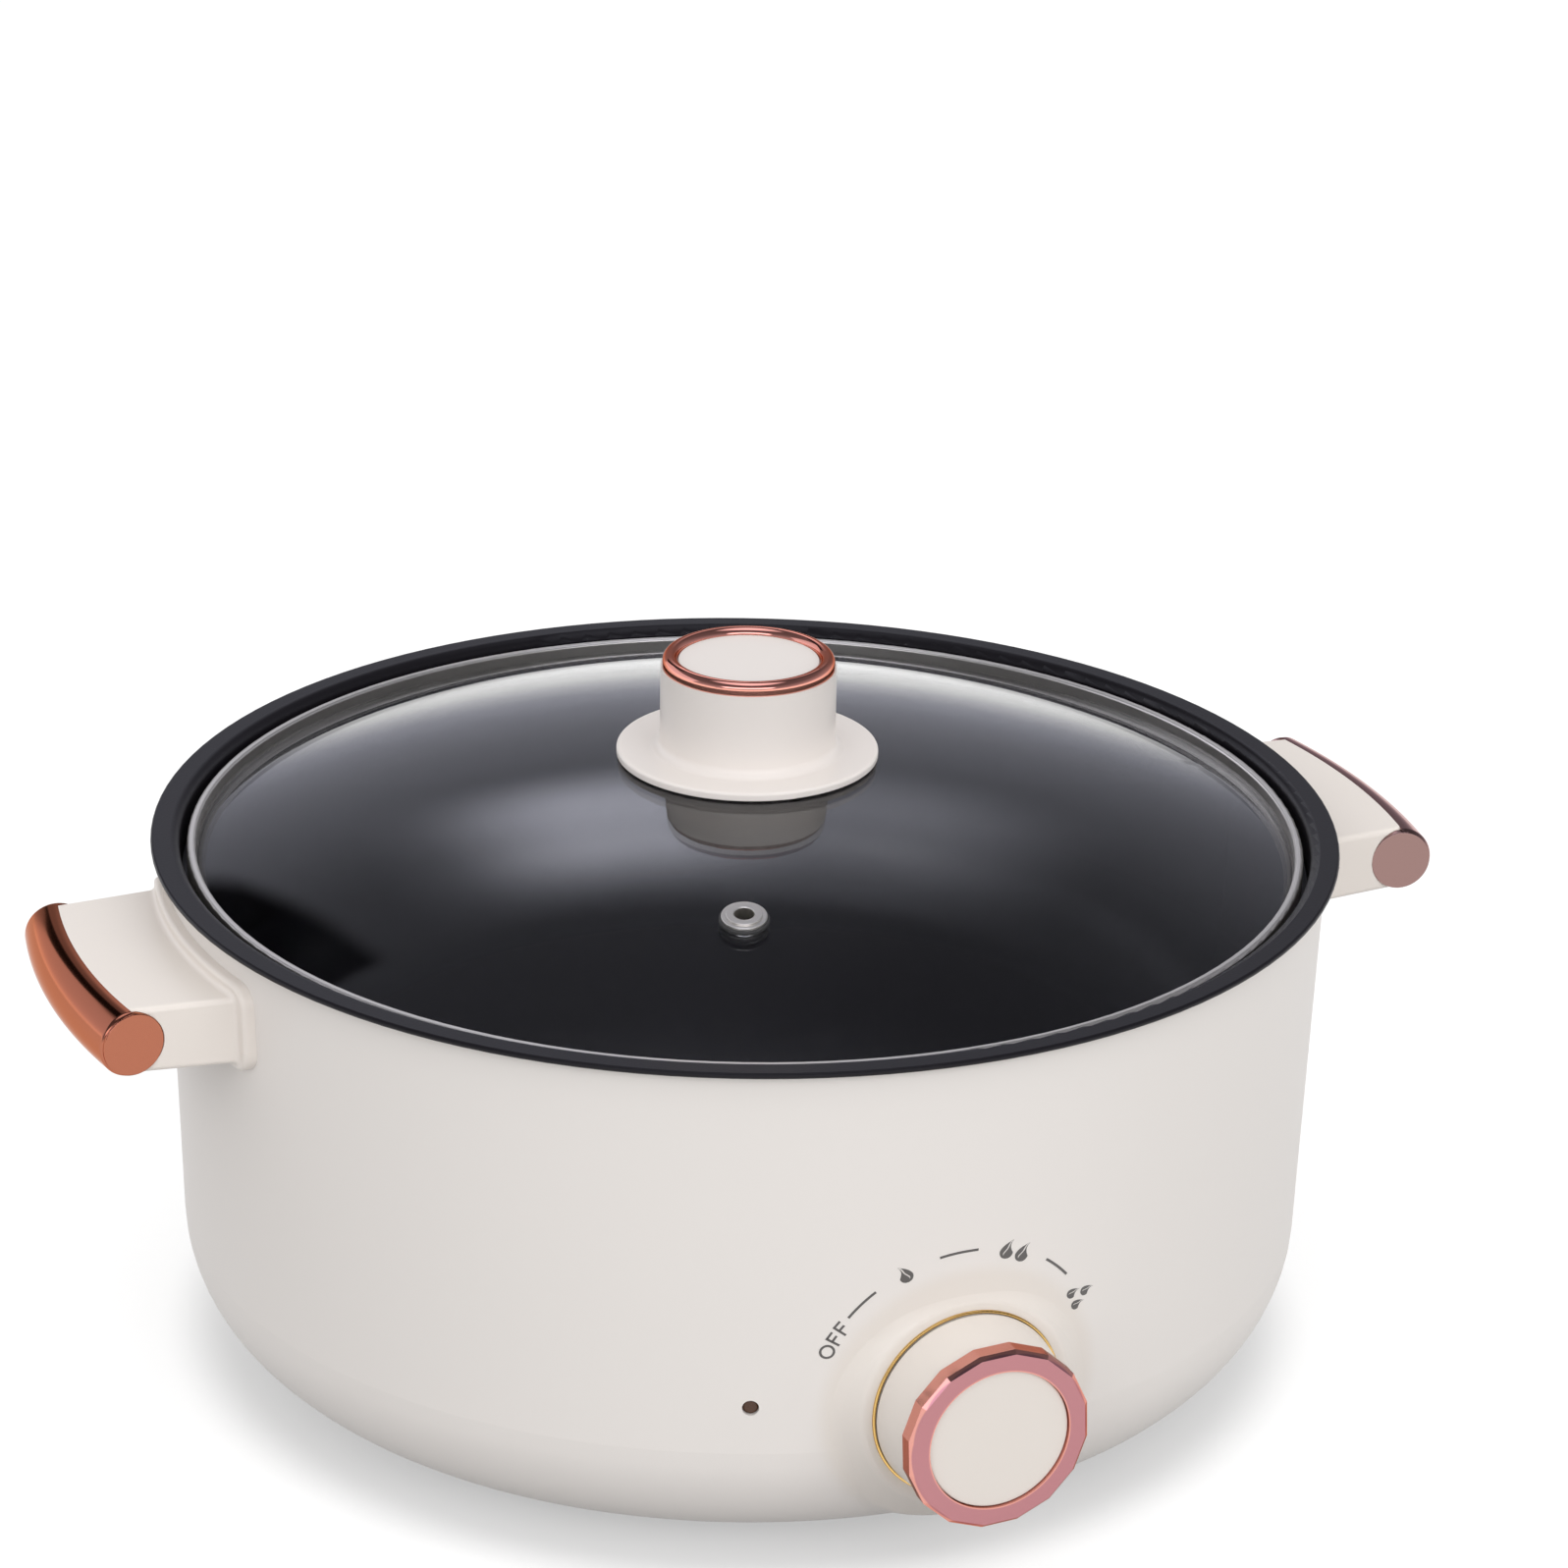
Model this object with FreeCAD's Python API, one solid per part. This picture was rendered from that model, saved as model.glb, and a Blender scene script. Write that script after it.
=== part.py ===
import FreeCAD, Part
import math
import os
from FreeCAD import Placement, Rotation, Vector

# Electric hot pot with a loose glass lid.  Millimetres, +Z up.  The origin is on the pot's axis at the
# height of the table.  The heat dial faces -Y, the handles lie along +X and -X, the power inlet faces +Y.
# Azimuths are in degrees from -Y towards +X.

# ---- Outer shell: one moulding, open at the top, with a round boss for the dial and a pad for the inlet
SHELL_TOP_RADIUS = 156.6
SHELL_FOOT_RADIUS = 152.3
SHELL_CORNER = 36.0
SHELL_WALL = 2.2
BASE_LIFT = 3.0
FLOOR_LIP = 2.5
COVER_EDGE = 0.3
COVER_LAP = 6.0
WALL_PASS = 10.0

# ---- Inner pot: spun aluminium with a flat rim and a ledge for the lid
POT_RIM_TOP = 146.2
POT_WALL = 1.6
RIM_OVERHANG = 3.4
RIM_EDGE_SHARE = 0.48
POT_SHELL_GAP = 0.3
LID_WELL_DEPTH = 10.5
LID_WELL_ROUND = 2.6
LEDGE_WIDTH = 5.2
LEDGE_ROUND = 0.6
LEDGE_LIP_ROUND = 1.2
POT_DEPTH = 82.0
POT_AIR_GAP = 5.4
POT_FLOOR_CORNER = 28.0

# ---- Glass lid
LID_SIDE_GAP = 1.8
LID_SEAT_GAP = 0.3
LID_RIM_HEIGHT = 8.1
LID_RIM_TOP_WIDTH = 2.3
LID_RIM_FOOT_WIDTH = 3.6
LID_RIM_SHEET = 0.6
LID_RIM_ROUND = 0.8
GLASS_THICKNESS = 3.8
GLASS_EDGE_INSET = 1.1
DOME_RISE = 27.0
VENT_RADIUS = 92.5
VENT_AZIMUTH = -22.0
VENT_BORE = 2.6
EYELET_WALL = 0.9
EYELET_FLANGE = 5.9
EYELET_FLANGE_THICKNESS = 0.8
EYELET_FLARE = 5.2
GROMMET_WALL = 0.8
GROMMET_FLANGE = 6.5
GROMMET_FLANGE_THICKNESS = 1.0

# ---- Lid knob
SKIRT_RADIUS = 35.2
SKIRT_EDGE = 2.6
SKIRT_CROWN = 3.4
SKIRT_NECK = 2.6
SKIRT_LIP = 1.8
SKIRT_LIP_ROUND = 0.8
SKIRT_UNDERCUT = 1.2
SKIRT_CLEARANCE = 0.35
KNOB_RADIUS = 23.6
KNOB_HEIGHT = 23.0
KNOB_WALL = 2.2
KNOB_FLOOR = 3.0
KNOB_ROOT_ROUND = 1.0
BEAD_RADIUS = 2.05
BEAD_OUTER_RADIUS = 23.1
BEAD_SKIRT_DEPTH = 4.0
BEAD_LIP = 1.3
BEAD_LIP_THICKNESS = 0.6
LID_CAP_THICKNESS = 1.2
LID_SCREW_RADIUS = 2.5
LID_SCREW_HEAD_RADIUS = 5.0
LID_SCREW_HEAD = 3.2
LID_SCREW_GRIP = 12.0
LID_HUB_RADIUS = 6.5
LID_HUB_HEIGHT = 15.0
LID_WASHER_RADIUS = 11.0
LID_WASHER_THICKNESS = 1.5
GLASS_HOLE_RADIUS = 3.4

# ---- Dial
DIAL_HEIGHT = 48.5
BOSS_PROUD = 0.5
BOSS_FACE_RADIUS = 28.5
BOSS_FACE_ROUND = 2.5
BOSS_SHOULDER_ROUND = 10.0
BOSS_FOOT_ROUND = 6.0
BOSS_SHOULDER_RADIUS = 37.5
BOSS_SHOULDER_DEPTH = 9.0
BOSS_TAPER = 2.5
BOSS_ROOT_DEPTH = 27.0
BASE_RING_RADIUS = 25.7
BASE_RING_WIDTH = 0.8
BASE_RING_HEIGHT = 0.6
DIAL_GAP = 0.3
DIAL_BACK_RADIUS = 25.0
DIAL_NECK_RADIUS = 23.3
DIAL_WALL = 2.2
DIAL_FRONT_WALL = 2.4
RING_BACK = 15.9
RING_FRONT = 20.9
RING_FACETS = 16
RING_TURN = 14.0
RING_CORNER_RADIUS = 24.7
RING_BEVEL = 1.0
RING_BORE_RADIUS = 21.4
DIAL_CAP_RADIUS = 18.9
DIAL_CAP_FRONT = 20.0
DIAL_CAP_THICKNESS = 1.8
DIAL_HUB_RADIUS = 6.0
SHAFT_RADIUS = 3.0
SHAFT_GAP = 0.05
SHAFT_REACH = 12.0
SHAFT_FLAT = 1.0
SHAFT_TAIL = 14.0

# ---- Rotary switch behind the boss
SWITCH_SIDE = 24.0
SWITCH_DEPTH = 16.0
SWITCH_ROUND = 2.5
SWITCH_NOSE_RADIUS = 4.9
SWITCH_NOSE = 4.4
SWITCH_HOLE_GAP = 0.3
BRACKET_LENGTH = 42.0
BRACKET_WIDTH = 20.0
BRACKET_THICKNESS = 1.2
SWITCH_SCREW_SPACING = 34.0
SMALL_SCREW_RADIUS = 1.5
SMALL_SCREW_HEAD_RADIUS = 2.8
SMALL_SCREW_HEAD = 1.5
SMALL_SCREW_LENGTH = 6.0
TAB_WIDTH = 6.3
TAB_THICKNESS = 0.8
TAB_LENGTH = 8.0
TAB_SPACING = 10.0

# ---- Indicator lamp
LAMP_AZIMUTH = -20.6
LAMP_HEIGHT = 51.2
LENS_RADIUS = 2.1
LENS_RECESS = 0.6
LENS_FLANGE_RADIUS = 3.4
LENS_FLANGE = 1.0
LAMP_RADIUS = 2.6
LAMP_LENGTH = 9.0
LAMP_LEAD_RADIUS = 0.4
LAMP_LEAD_LENGTH = 7.0

# ---- Handles
HANDLE_TOP = 133.4
HANDLE_THICKNESS = 17.8
HANDLE_ROOT_DROP = 1.0
HANDLE_ROOT_WIDTH = 78.0
HANDLE_TAPER = 3.0
HANDLE_EDGE_ROUND = 1.5
HANDLE_BITE = 16.0
HANDLE_WALL = 2.6
HANDLE_RIB = 2.0
HANDLE_BOSS_RADIUS = 4.6
HANDLE_BOSS_TIP = 3.0
HANDLE_REACH = 29.0
BAR_ARC = 195.0
TRIM_THICKNESS = 1.3
TRIM_CAP = 2.0
TRIM_ROUND = 1.2
TRIM_DISC_INSET = 0.5
TRIM_DISC_PROUD = 0.5
TRIM_DISC_ROUND = 0.25
TRIM_GAP = 0.05
PAD_SIDE = 2.5
PAD_BELOW = 2.2
PAD_ABOVE = 3.6
PAD_PROUD = 3.0
PAD_CORNER = 6.0
PAD_ROUND = 1.4
PAD_ROOT_ROUND = 1.5
HANDLE_SCREW_SPREAD = 22.3
HANDLE_SCREW_RADIUS = 2.0
HANDLE_SCREW_HEAD_RADIUS = 3.8
HANDLE_SCREW_HEAD = 2.0
HANDLE_SCREW_LENGTH = 20.0
SCREW_GAP = 0.05
SCREW_HOLE_GAP = 0.4

# ---- Power inlet at the back
INLET_AZIMUTH = 180.0
INLET_HEIGHT = 44.0
INLET_PROUD = 2.6
INLET_PAD_WIDTH = 58.0
INLET_PAD_TALL = 30.0
INLET_PAD_ROUND = 7.0
INLET_PAD_FLARE = 5.0
INLET_PAD_DEPTH = 30.0
INLET_FLANGE_WIDTH = 50.0
INLET_FLANGE_TALL = 24.0
INLET_FLANGE = 2.0
INLET_FLANGE_ROUND = 5.0
INLET_BODY_WIDTH = 29.0
INLET_BODY_TALL = 21.5
INLET_BODY_ROUND = 2.5
INLET_BODY_DEPTH = 22.0
SOCKET_WIDTH = 25.0
SOCKET_TALL = 17.5
SOCKET_CHAMFER = 5.5
SOCKET_DEPTH = 18.0
INLET_CUT_GAP = 0.3
INLET_SCREW_SPACING = 40.0
INLET_PIN_SPACING = 14.0
INLET_PIN_WIDTH = 2.0
INLET_PIN_TALL = 5.0
INLET_PIN_REACH = 14.0
INLET_PIN_TAIL = 12.0
INLET_EARTH_DROP = 4.0

# ---- Heater under the pot
PLATE_PILLAR_GAP = 12.0
PLATE_THICKNESS = 5.0
TUBE_RADIUS = 3.6
TUBE_RING_INSET = 18.0
TUBE_SINK = 2.4
TUBE_OPENING = 34.0
TUBE_BEND = 8.0
TUBE_LEG = 8.0
PIN_RADIUS = 1.4
PIN_LENGTH = 8.0
THERMOSTAT_RADIUS = 8.5
THERMOSTAT_HEIGHT = 9.0
THERMOSTAT_FOOT_RADIUS = 11.0
THERMOSTAT_FOOT = 1.0
FUSE_RADIUS = 2.2
FUSE_LEAD_RADIUS = 0.7
FUSE_LENGTH = 24.0
FUSE_SHIFT = 4.5
CLIP_THICKNESS = 0.8
CLIP_WIDTH = 10.0
CLIP_FOOT = 7.0

# ---- Base cover, feet and the pillars that pull the pot down onto the shell
COVER_THICKNESS = 2.5
COVER_GAP = 0.3
COVER_RIB = 3.5
COVER_RIB_WIDTH = 2.0
VENT_SLOTS = 20
VENT_SLOT_LENGTH = 20.0
VENT_SLOT_INSET = 35.0
VENT_SLOT_WIDTH = 3.4
FOOT_RADIUS = 8.0
FOOT_INSET = 14.0
FOOT_COUNT = 4
FOOT_SINK = 1.6
FOOT_GAP = 0.1
PILLAR_COUNT = 3
PILLAR_INSET = 13.0
PILLAR_RADIUS = 5.0
PILLAR_BOSS_RADIUS = 8.0
PILLAR_BOSS = 4.0
BASE_SCREW_RADIUS = 2.0
BASE_SCREW_HEAD_RADIUS = 4.0
BASE_SCREW_HEAD = 2.4
BASE_SCREW_SINK = 3.4
BASE_SCREW_LENGTH = 12.0

# ---- Wires inside the base
WIRE_RADIUS = 1.3
LAMP_WIRE_RADIUS = 0.8
WIRE_BEND = 6.0
WIRE_STUB = 11.0
WIRE_PASS = 9.0
WIRE_STEP = 4.0
WIRE_TURN = 16.0
BOOT_WALL = 1.2
BOOT_END = 1.6
BOOT_LENGTH = 7.0
WIRE_SHARE = 2.2
LOW_WIRE = 13.0
MIDDLE_WIRE = 20.0
HIGH_WIRE = 28.0
EARTH_TAG_RADIUS = 7.8
EARTH_TAG = 1.0

# ---- Heights that follow
SHELL_TOP = POT_RIM_TOP - POT_WALL
LEDGE_HEIGHT = POT_RIM_TOP - LID_WELL_DEPTH
POT_FLOOR = POT_RIM_TOP - POT_DEPTH
POT_UNDERSIDE = POT_FLOOR - POT_WALL
PLATE_UNDERSIDE = POT_UNDERSIDE - PLATE_THICKNESS
COVER_TOP = BASE_LIFT + COVER_THICKNESS
CAVITY_FLOOR = COVER_TOP + FLOOR_LIP
BAR_RADIUS = HANDLE_THICKNESS / 2
BAR_HEIGHT = HANDLE_TOP - BAR_RADIUS


def wall_radius(height, inset=0.0):
    """Radius of the shell's outer wall at a height, less an inset."""
    slope = (SHELL_TOP_RADIUS - SHELL_FOOT_RADIUS) / (SHELL_TOP - BASE_LIFT)
    return SHELL_FOOT_RADIUS + slope * (height - BASE_LIFT) - inset


def narrowest(height, reach):
    """Least radius of the shell's outer wall within a reach above or below a height."""
    return min(wall_radius(height - reach), wall_radius(height + reach))


def widest(height, reach):
    """Greatest radius of the shell's outer wall within a reach above or below a height."""
    return max(wall_radius(height - reach), wall_radius(height + reach))


# ---- Radii that follow: the pot and lid hang in the shell's mouth, the rest stands on its wall and floor
LID_WELL_MIDDLE = SHELL_TOP - LID_WELL_DEPTH / 2
LID_WELL_RADIUS = narrowest(LID_WELL_MIDDLE, LID_WELL_DEPTH / 2) - SHELL_WALL - POT_SHELL_GAP - POT_WALL
LEDGE_RADIUS = LID_WELL_RADIUS - LEDGE_WIDTH
RIM_RADIUS = SHELL_TOP_RADIUS + RIM_OVERHANG
POT_FLOOR_RADIUS = wall_radius(POT_UNDERSIDE, SHELL_WALL + POT_AIR_GAP + POT_WALL)
COVER_REBATE_RADIUS = SHELL_FOOT_RADIUS - SHELL_CORNER - COVER_EDGE
BASE_OPENING_RADIUS = COVER_REBATE_RADIUS - COVER_LAP
FOOT_RING_RADIUS = BASE_OPENING_RADIUS - FOOT_INSET
PILLAR_RING_RADIUS = BASE_OPENING_RADIUS - PILLAR_INSET
VENT_SLOT_OUTER = PILLAR_RING_RADIUS - VENT_SLOT_INSET
PLATE_RADIUS = PILLAR_RING_RADIUS - PILLAR_RADIUS - PLATE_PILLAR_GAP
TUBE_RING_RADIUS = PLATE_RADIUS - TUBE_RING_INSET
FUSE_OFFSET = (THERMOSTAT_FOOT_RADIUS + TUBE_RING_RADIUS) / 2 - FUSE_SHIFT
BOSS_ROOT_RADIUS = BOSS_SHOULDER_RADIUS + BOSS_TAPER
BOSS_FACE = widest(DIAL_HEIGHT, BASE_RING_RADIUS) + BOSS_PROUD
BOSS_INNER_FACE = BOSS_FACE - SHELL_WALL
NOSE_FRONT = BOSS_INNER_FACE + SWITCH_NOSE
INLET_FACE = widest(INLET_HEIGHT, INLET_FLANGE_TALL / 2) + INLET_PROUD
BAR_APEX = wall_radius(BAR_HEIGHT) + HANDLE_REACH
BAR_CENTRE = BAR_APEX - BAR_ARC
HANDLE_END = HANDLE_ROOT_WIDTH / 2 - HANDLE_TAPER
BAR_SPREAD = math.degrees(math.asin(HANDLE_END / BAR_ARC))
TRIM_DISC_RADIUS = BAR_RADIUS - TRIM_DISC_INSET
HANDLE_ROOT = wall_radius(BAR_HEIGHT) - HANDLE_BITE
PAD_WIDTH = HANDLE_ROOT_WIDTH + 2 * PAD_SIDE
PAD_BOTTOM = HANDLE_TOP - HANDLE_THICKNESS - HANDLE_ROOT_DROP - PAD_BELOW
PAD_TOP = HANDLE_TOP + PAD_ABOVE
LID_RADIUS = LID_WELL_RADIUS - LID_SIDE_GAP
LID_BOTTOM = LEDGE_HEIGHT + LID_SEAT_GAP
LID_RIM_TOP = LID_BOTTOM + LID_RIM_HEIGHT
GLASS_RADIUS = LID_RADIUS - GLASS_EDGE_INSET
DOME_RADIUS = (GLASS_RADIUS ** 2 + DOME_RISE ** 2) / (2 * DOME_RISE)
DOME_APEX = LID_BOTTOM + LID_RIM_SHEET + GLASS_THICKNESS + DOME_RISE
DOME_CENTRE = DOME_APEX - DOME_RADIUS
SKIRT_TOP = DOME_APEX + SKIRT_CROWN - SKIRT_EDGE
KNOB_FOOT = SKIRT_TOP + SKIRT_NECK
KNOB_TOP = SKIRT_TOP + KNOB_HEIGHT


# ---- Drawing helpers

def rounded(corners, place):
    """Closed wire through corners (a, b) or (a, b, radius), mapped to space by place(a, b)."""
    points = [(c[0], c[1]) for c in corners]
    radii = [c[2] if len(c) > 2 else 0.0 for c in corners]
    pieces = []
    for i, (a, b) in enumerate(points):
        before = points[i - 1]
        after = points[(i + 1) % len(points)]
        if radii[i] == 0.0:
            pieces.append([(a, b)])
            continue
        back = (before[0] - a, before[1] - b)
        ahead = (after[0] - a, after[1] - b)
        back = unit(back)
        ahead = unit(ahead)
        half = math.acos(back[0] * ahead[0] + back[1] * ahead[1]) / 2
        inset = radii[i] / math.tan(half)
        middle = unit((back[0] + ahead[0], back[1] + ahead[1]))
        reach = radii[i] / math.sin(half) - radii[i]
        pieces.append([
            (a + back[0] * inset, b + back[1] * inset),
            (a + middle[0] * reach, b + middle[1] * reach),
            (a + ahead[0] * inset, b + ahead[1] * inset)])
    edges = []
    for i, piece in enumerate(pieces):
        if len(piece) == 3:
            edges.append(Part.Arc(*[place(*p) for p in piece]).toShape())
        start = place(*piece[-1])
        end = place(*pieces[(i + 1) % len(pieces)][0])
        if start.distanceToPoint(end) > 1e-6:
            edges.append(Part.LineSegment(start, end).toShape())
    return Part.Wire(edges)


def unit(v):
    """The plane vector v at length one."""
    length = math.hypot(*v)
    return (v[0] / length, v[1] / length)


def turned(corners):
    """Solid turned about Z from a closed outline of (radius, height) corners."""
    face = Part.Face(rounded(corners, lambda a, b: Vector(a, 0, b)))
    return face.revolve(Vector(0, 0, 0), Vector(0, 0, 1), 360)


def plate(corners, bottom, top):
    """Flat solid between two heights with an outline of (x, y) corners."""
    face = Part.Face(rounded(corners, lambda a, b: Vector(a, b, bottom)))
    return face.extrude(Vector(0, 0, top - bottom))


def block(width, tall, corner, bottom, top):
    """Plate centred on Z, width along X and tall along Y, with rounded corners."""
    return plate(rectangle(width, tall, corner), bottom, top)


def rod(radius, bottom, top):
    """Cylinder on Z between two heights."""
    return Part.makeCylinder(radius, top - bottom, Vector(0, 0, bottom))


def moved(shape, x, y, z=0.0):
    """A copy of the shape shifted by x, y and z."""
    copy = shape.copy()
    copy.translate(Vector(x, y, z))
    return copy


def outward(azimuth, height):
    """The placement that turns +Z to point away from the pot's axis at an azimuth, with Y upright."""
    turn = Rotation(Vector(0, 0, 1), azimuth) * Rotation(Vector(1, 0, 0), 90)
    return Placement(Vector(0, 0, height), turn)


def aim(shape, azimuth, height):
    """A shape made about +Z, moved by the outward placement."""
    aimed = shape.copy()
    aimed.Placement = outward(azimuth, height).multiply(aimed.Placement)
    return aimed


def around(shape, count, radius, first=0.0):
    """Copies of a shape spaced evenly on a circle about Z."""
    copies = []
    for i in range(count):
        copy = moved(shape, 0, -radius)
        copy.rotate(Vector(0, 0, 0), Vector(0, 0, 1), first + i * 360.0 / count)
        copies.append(copy)
    return copies


def rectangle(width, tall, corner):
    """Corners of a centred rectangle with rounded corners."""
    x = width / 2
    y = tall / 2
    return [(-x, -y, corner), (x, -y, corner), (x, y, corner), (-x, y, corner)]


# ---- Outer shell

def shell_form(inset, floor, top):
    """The shell's filled form: a slightly flared drum with a large round foot corner."""
    corner = SHELL_CORNER - inset
    foot = wall_radius(floor, inset)
    return turned([(0, floor), (foot, floor, corner), (wall_radius(top, inset), top), (0, top)])


def boss_form(inset):
    """The dial boss, aimed at -Y: a flat face with a shoulder that runs back into the drum."""
    face = BOSS_FACE - inset
    shoulder = BOSS_FACE - BOSS_SHOULDER_DEPTH
    root = BOSS_FACE - BOSS_ROOT_DEPTH
    outline = [
        (0, face), (BOSS_FACE_RADIUS - inset, face, BOSS_FACE_ROUND),
        (BOSS_SHOULDER_RADIUS - inset, shoulder, BOSS_SHOULDER_ROUND),
        (BOSS_ROOT_RADIUS - inset, root), (0, root)]
    return aim(turned(outline), 0, DIAL_HEIGHT)


def inlet_pad_form(inset):
    """The flat pad for the power inlet, lofted from its face to a wider root inside the drum."""
    wires = []
    ends = ((-inset, INLET_FACE - inset), (INLET_PAD_FLARE - inset, INLET_FACE - INLET_PAD_DEPTH))
    for grow, reach in ends:
        corners = rectangle(INLET_PAD_WIDTH + 2 * grow, INLET_PAD_TALL + 2 * grow, INLET_PAD_ROUND - inset)
        wires.append(rounded(corners, lambda a, b, z=reach: Vector(a, b, z)))
    return aim(Part.makeLoft(wires, True), INLET_AZIMUTH, INLET_HEIGHT)


def outer_shell():
    """One moulding: drum, dial boss and inlet pad, hollowed to an even wall, with its holes."""
    drum = shell_form(0, BASE_LIFT, SHELL_TOP).fuse(boss_form(0))
    foot = [e for e in drum.Edges if isinstance(e.Curve, Part.BSplineCurve)]
    drum = drum.makeFillet(BOSS_FOOT_ROUND, foot).fuse(inlet_pad_form(0))
    hollow = shell_form(SHELL_WALL, CAVITY_FLOOR, SHELL_TOP + 1)
    hollow = hollow.fuse([boss_form(SHELL_WALL), inlet_pad_form(SHELL_WALL)])
    holes = [
        rod(BASE_OPENING_RADIUS, 0, CAVITY_FLOOR + 1),
        rod(COVER_REBATE_RADIUS, 0, COVER_TOP),
        aim(rod(SWITCH_NOSE_RADIUS + SWITCH_HOLE_GAP, BOSS_INNER_FACE - 1, BOSS_FACE + 1), 0, DIAL_HEIGHT),
        aim(wall_bore(LENS_RADIUS + SCREW_GAP, LAMP_HEIGHT), LAMP_AZIMUTH, LAMP_HEIGHT)]
    for side in (-1, 1):
        hole = moved(countersunk(SMALL_SCREW_RADIUS + SCREW_HOLE_GAP, SCREW_HOLE_GAP), 0, 0, BOSS_FACE)
        holes.append(aim(moved(hole, side * SWITCH_SCREW_SPACING / 2, 0), 0, DIAL_HEIGHT))
        bore = wall_bore(SMALL_SCREW_RADIUS + SCREW_HOLE_GAP, INLET_HEIGHT)
        holes.append(aim(moved(bore, side * INLET_SCREW_SPACING / 2, 0), INLET_AZIMUTH, INLET_HEIGHT))
    socket = block(INLET_BODY_WIDTH + 2 * INLET_CUT_GAP, INLET_BODY_TALL + 2 * INLET_CUT_GAP,
                   INLET_BODY_ROUND, INLET_FACE - WALL_PASS, INLET_FACE + 1)
    holes.append(aim(socket, INLET_AZIMUTH, INLET_HEIGHT))
    bore = wall_bore(HANDLE_SCREW_RADIUS + SCREW_HOLE_GAP, BAR_HEIGHT)
    for azimuth in handle_screw_azimuths():
        holes.append(aim(bore, azimuth, BAR_HEIGHT))
    return drum.cut(hollow).cut(holes)


def wall_bore(radius, height):
    """A rod that passes right through the shell's wall at a height, to be aimed there."""
    return rod(radius, wall_radius(height) - WALL_PASS, wall_radius(height) + WALL_PASS)


def countersunk(radius, gap=0.0):
    """A small countersunk screw below height 0, or its hole when gap is given."""
    head = SMALL_SCREW_HEAD_RADIUS + gap
    return turned([
        (0, -SMALL_SCREW_LENGTH), (radius, -SMALL_SCREW_LENGTH), (radius, -SMALL_SCREW_HEAD),
        (head, 0), (0, 0)])


# ---- Inner pot and what heats it

def inner_pot():
    """Spun pot: flat rim on the shell, lid ledge, slightly tapered wall and a large round floor corner."""
    wall = POT_WALL
    edge = wall * RIM_EDGE_SHARE
    return turned([
        (RIM_RADIUS, SHELL_TOP, edge), (RIM_RADIUS, POT_RIM_TOP, edge),
        (LID_WELL_RADIUS, POT_RIM_TOP, LID_WELL_ROUND), (LID_WELL_RADIUS, LEDGE_HEIGHT, LEDGE_ROUND),
        (LEDGE_RADIUS, LEDGE_HEIGHT, LEDGE_LIP_ROUND), (POT_FLOOR_RADIUS, POT_FLOOR, POT_FLOOR_CORNER),
        (0, POT_FLOOR), (0, POT_UNDERSIDE),
        (POT_FLOOR_RADIUS + wall, POT_UNDERSIDE, POT_FLOOR_CORNER + wall),
        (LEDGE_RADIUS + wall, LEDGE_HEIGHT - wall), (LID_WELL_RADIUS + wall, LEDGE_HEIGHT - wall),
        (LID_WELL_RADIUS + wall, SHELL_TOP)])


def tube_path():
    """The heating tube's centre line: most of a ring with both ends bent down."""
    height = PLATE_UNDERSIDE - TUBE_RADIUS + TUBE_SINK
    half = math.radians(TUBE_OPENING / 2)

    def on_ring(angle, drop=0.0, slip=0.0):
        x = TUBE_RING_RADIUS * math.sin(angle) + slip * math.cos(angle)
        y = TUBE_RING_RADIUS * math.cos(angle) - slip * math.sin(angle)
        return Vector(x, y, height - drop)

    start = half
    end = 2 * math.pi - half
    bend = TUBE_BEND
    cut = bend * (1 - math.sqrt(0.5))
    low = bend + TUBE_LEG
    return Part.Wire([
        Part.LineSegment(on_ring(start, low, -bend), on_ring(start, bend, -bend)).toShape(),
        Part.Arc(on_ring(start, bend, -bend), on_ring(start, cut, -bend + cut), on_ring(start)).toShape(),
        Part.Arc(on_ring(start), on_ring(math.pi), on_ring(end)).toShape(),
        Part.Arc(on_ring(end), on_ring(end, cut, bend - cut), on_ring(end, bend, bend)).toShape(),
        Part.LineSegment(on_ring(end, bend, bend), on_ring(end, low, bend)).toShape()])


def heating_tube():
    """Sheathed heating tube with a cold pin in each end."""
    path = tube_path()
    start = path.Edges[0].valueAt(path.Edges[0].FirstParameter)
    ring = Part.Wire(Part.makeCircle(TUBE_RADIUS, start, Vector(0, 0, 1)))
    tube = path.makePipeShell([ring], True, False)
    last = path.Edges[-1]
    end = last.valueAt(last.LastParameter)
    pins = []
    for tip in (start, end):
        pins.append(moved(rod(PIN_RADIUS, -PIN_LENGTH, 0), tip.x, tip.y, tip.z))
    return Part.makeCompound([tube] + pins)


def heater_plate():
    """Aluminium spreader plate with the groove that the heating tube is pressed into."""
    disc = turned([(0, PLATE_UNDERSIDE), (PLATE_RADIUS, PLATE_UNDERSIDE, 1.5),
                   (PLATE_RADIUS, POT_UNDERSIDE), (0, POT_UNDERSIDE)])
    groove = Part.makeTorus(TUBE_RING_RADIUS, TUBE_RADIUS)
    groove.translate(Vector(0, 0, PLATE_UNDERSIDE - TUBE_RADIUS + TUBE_SINK))
    return disc.cut(groove)


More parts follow.
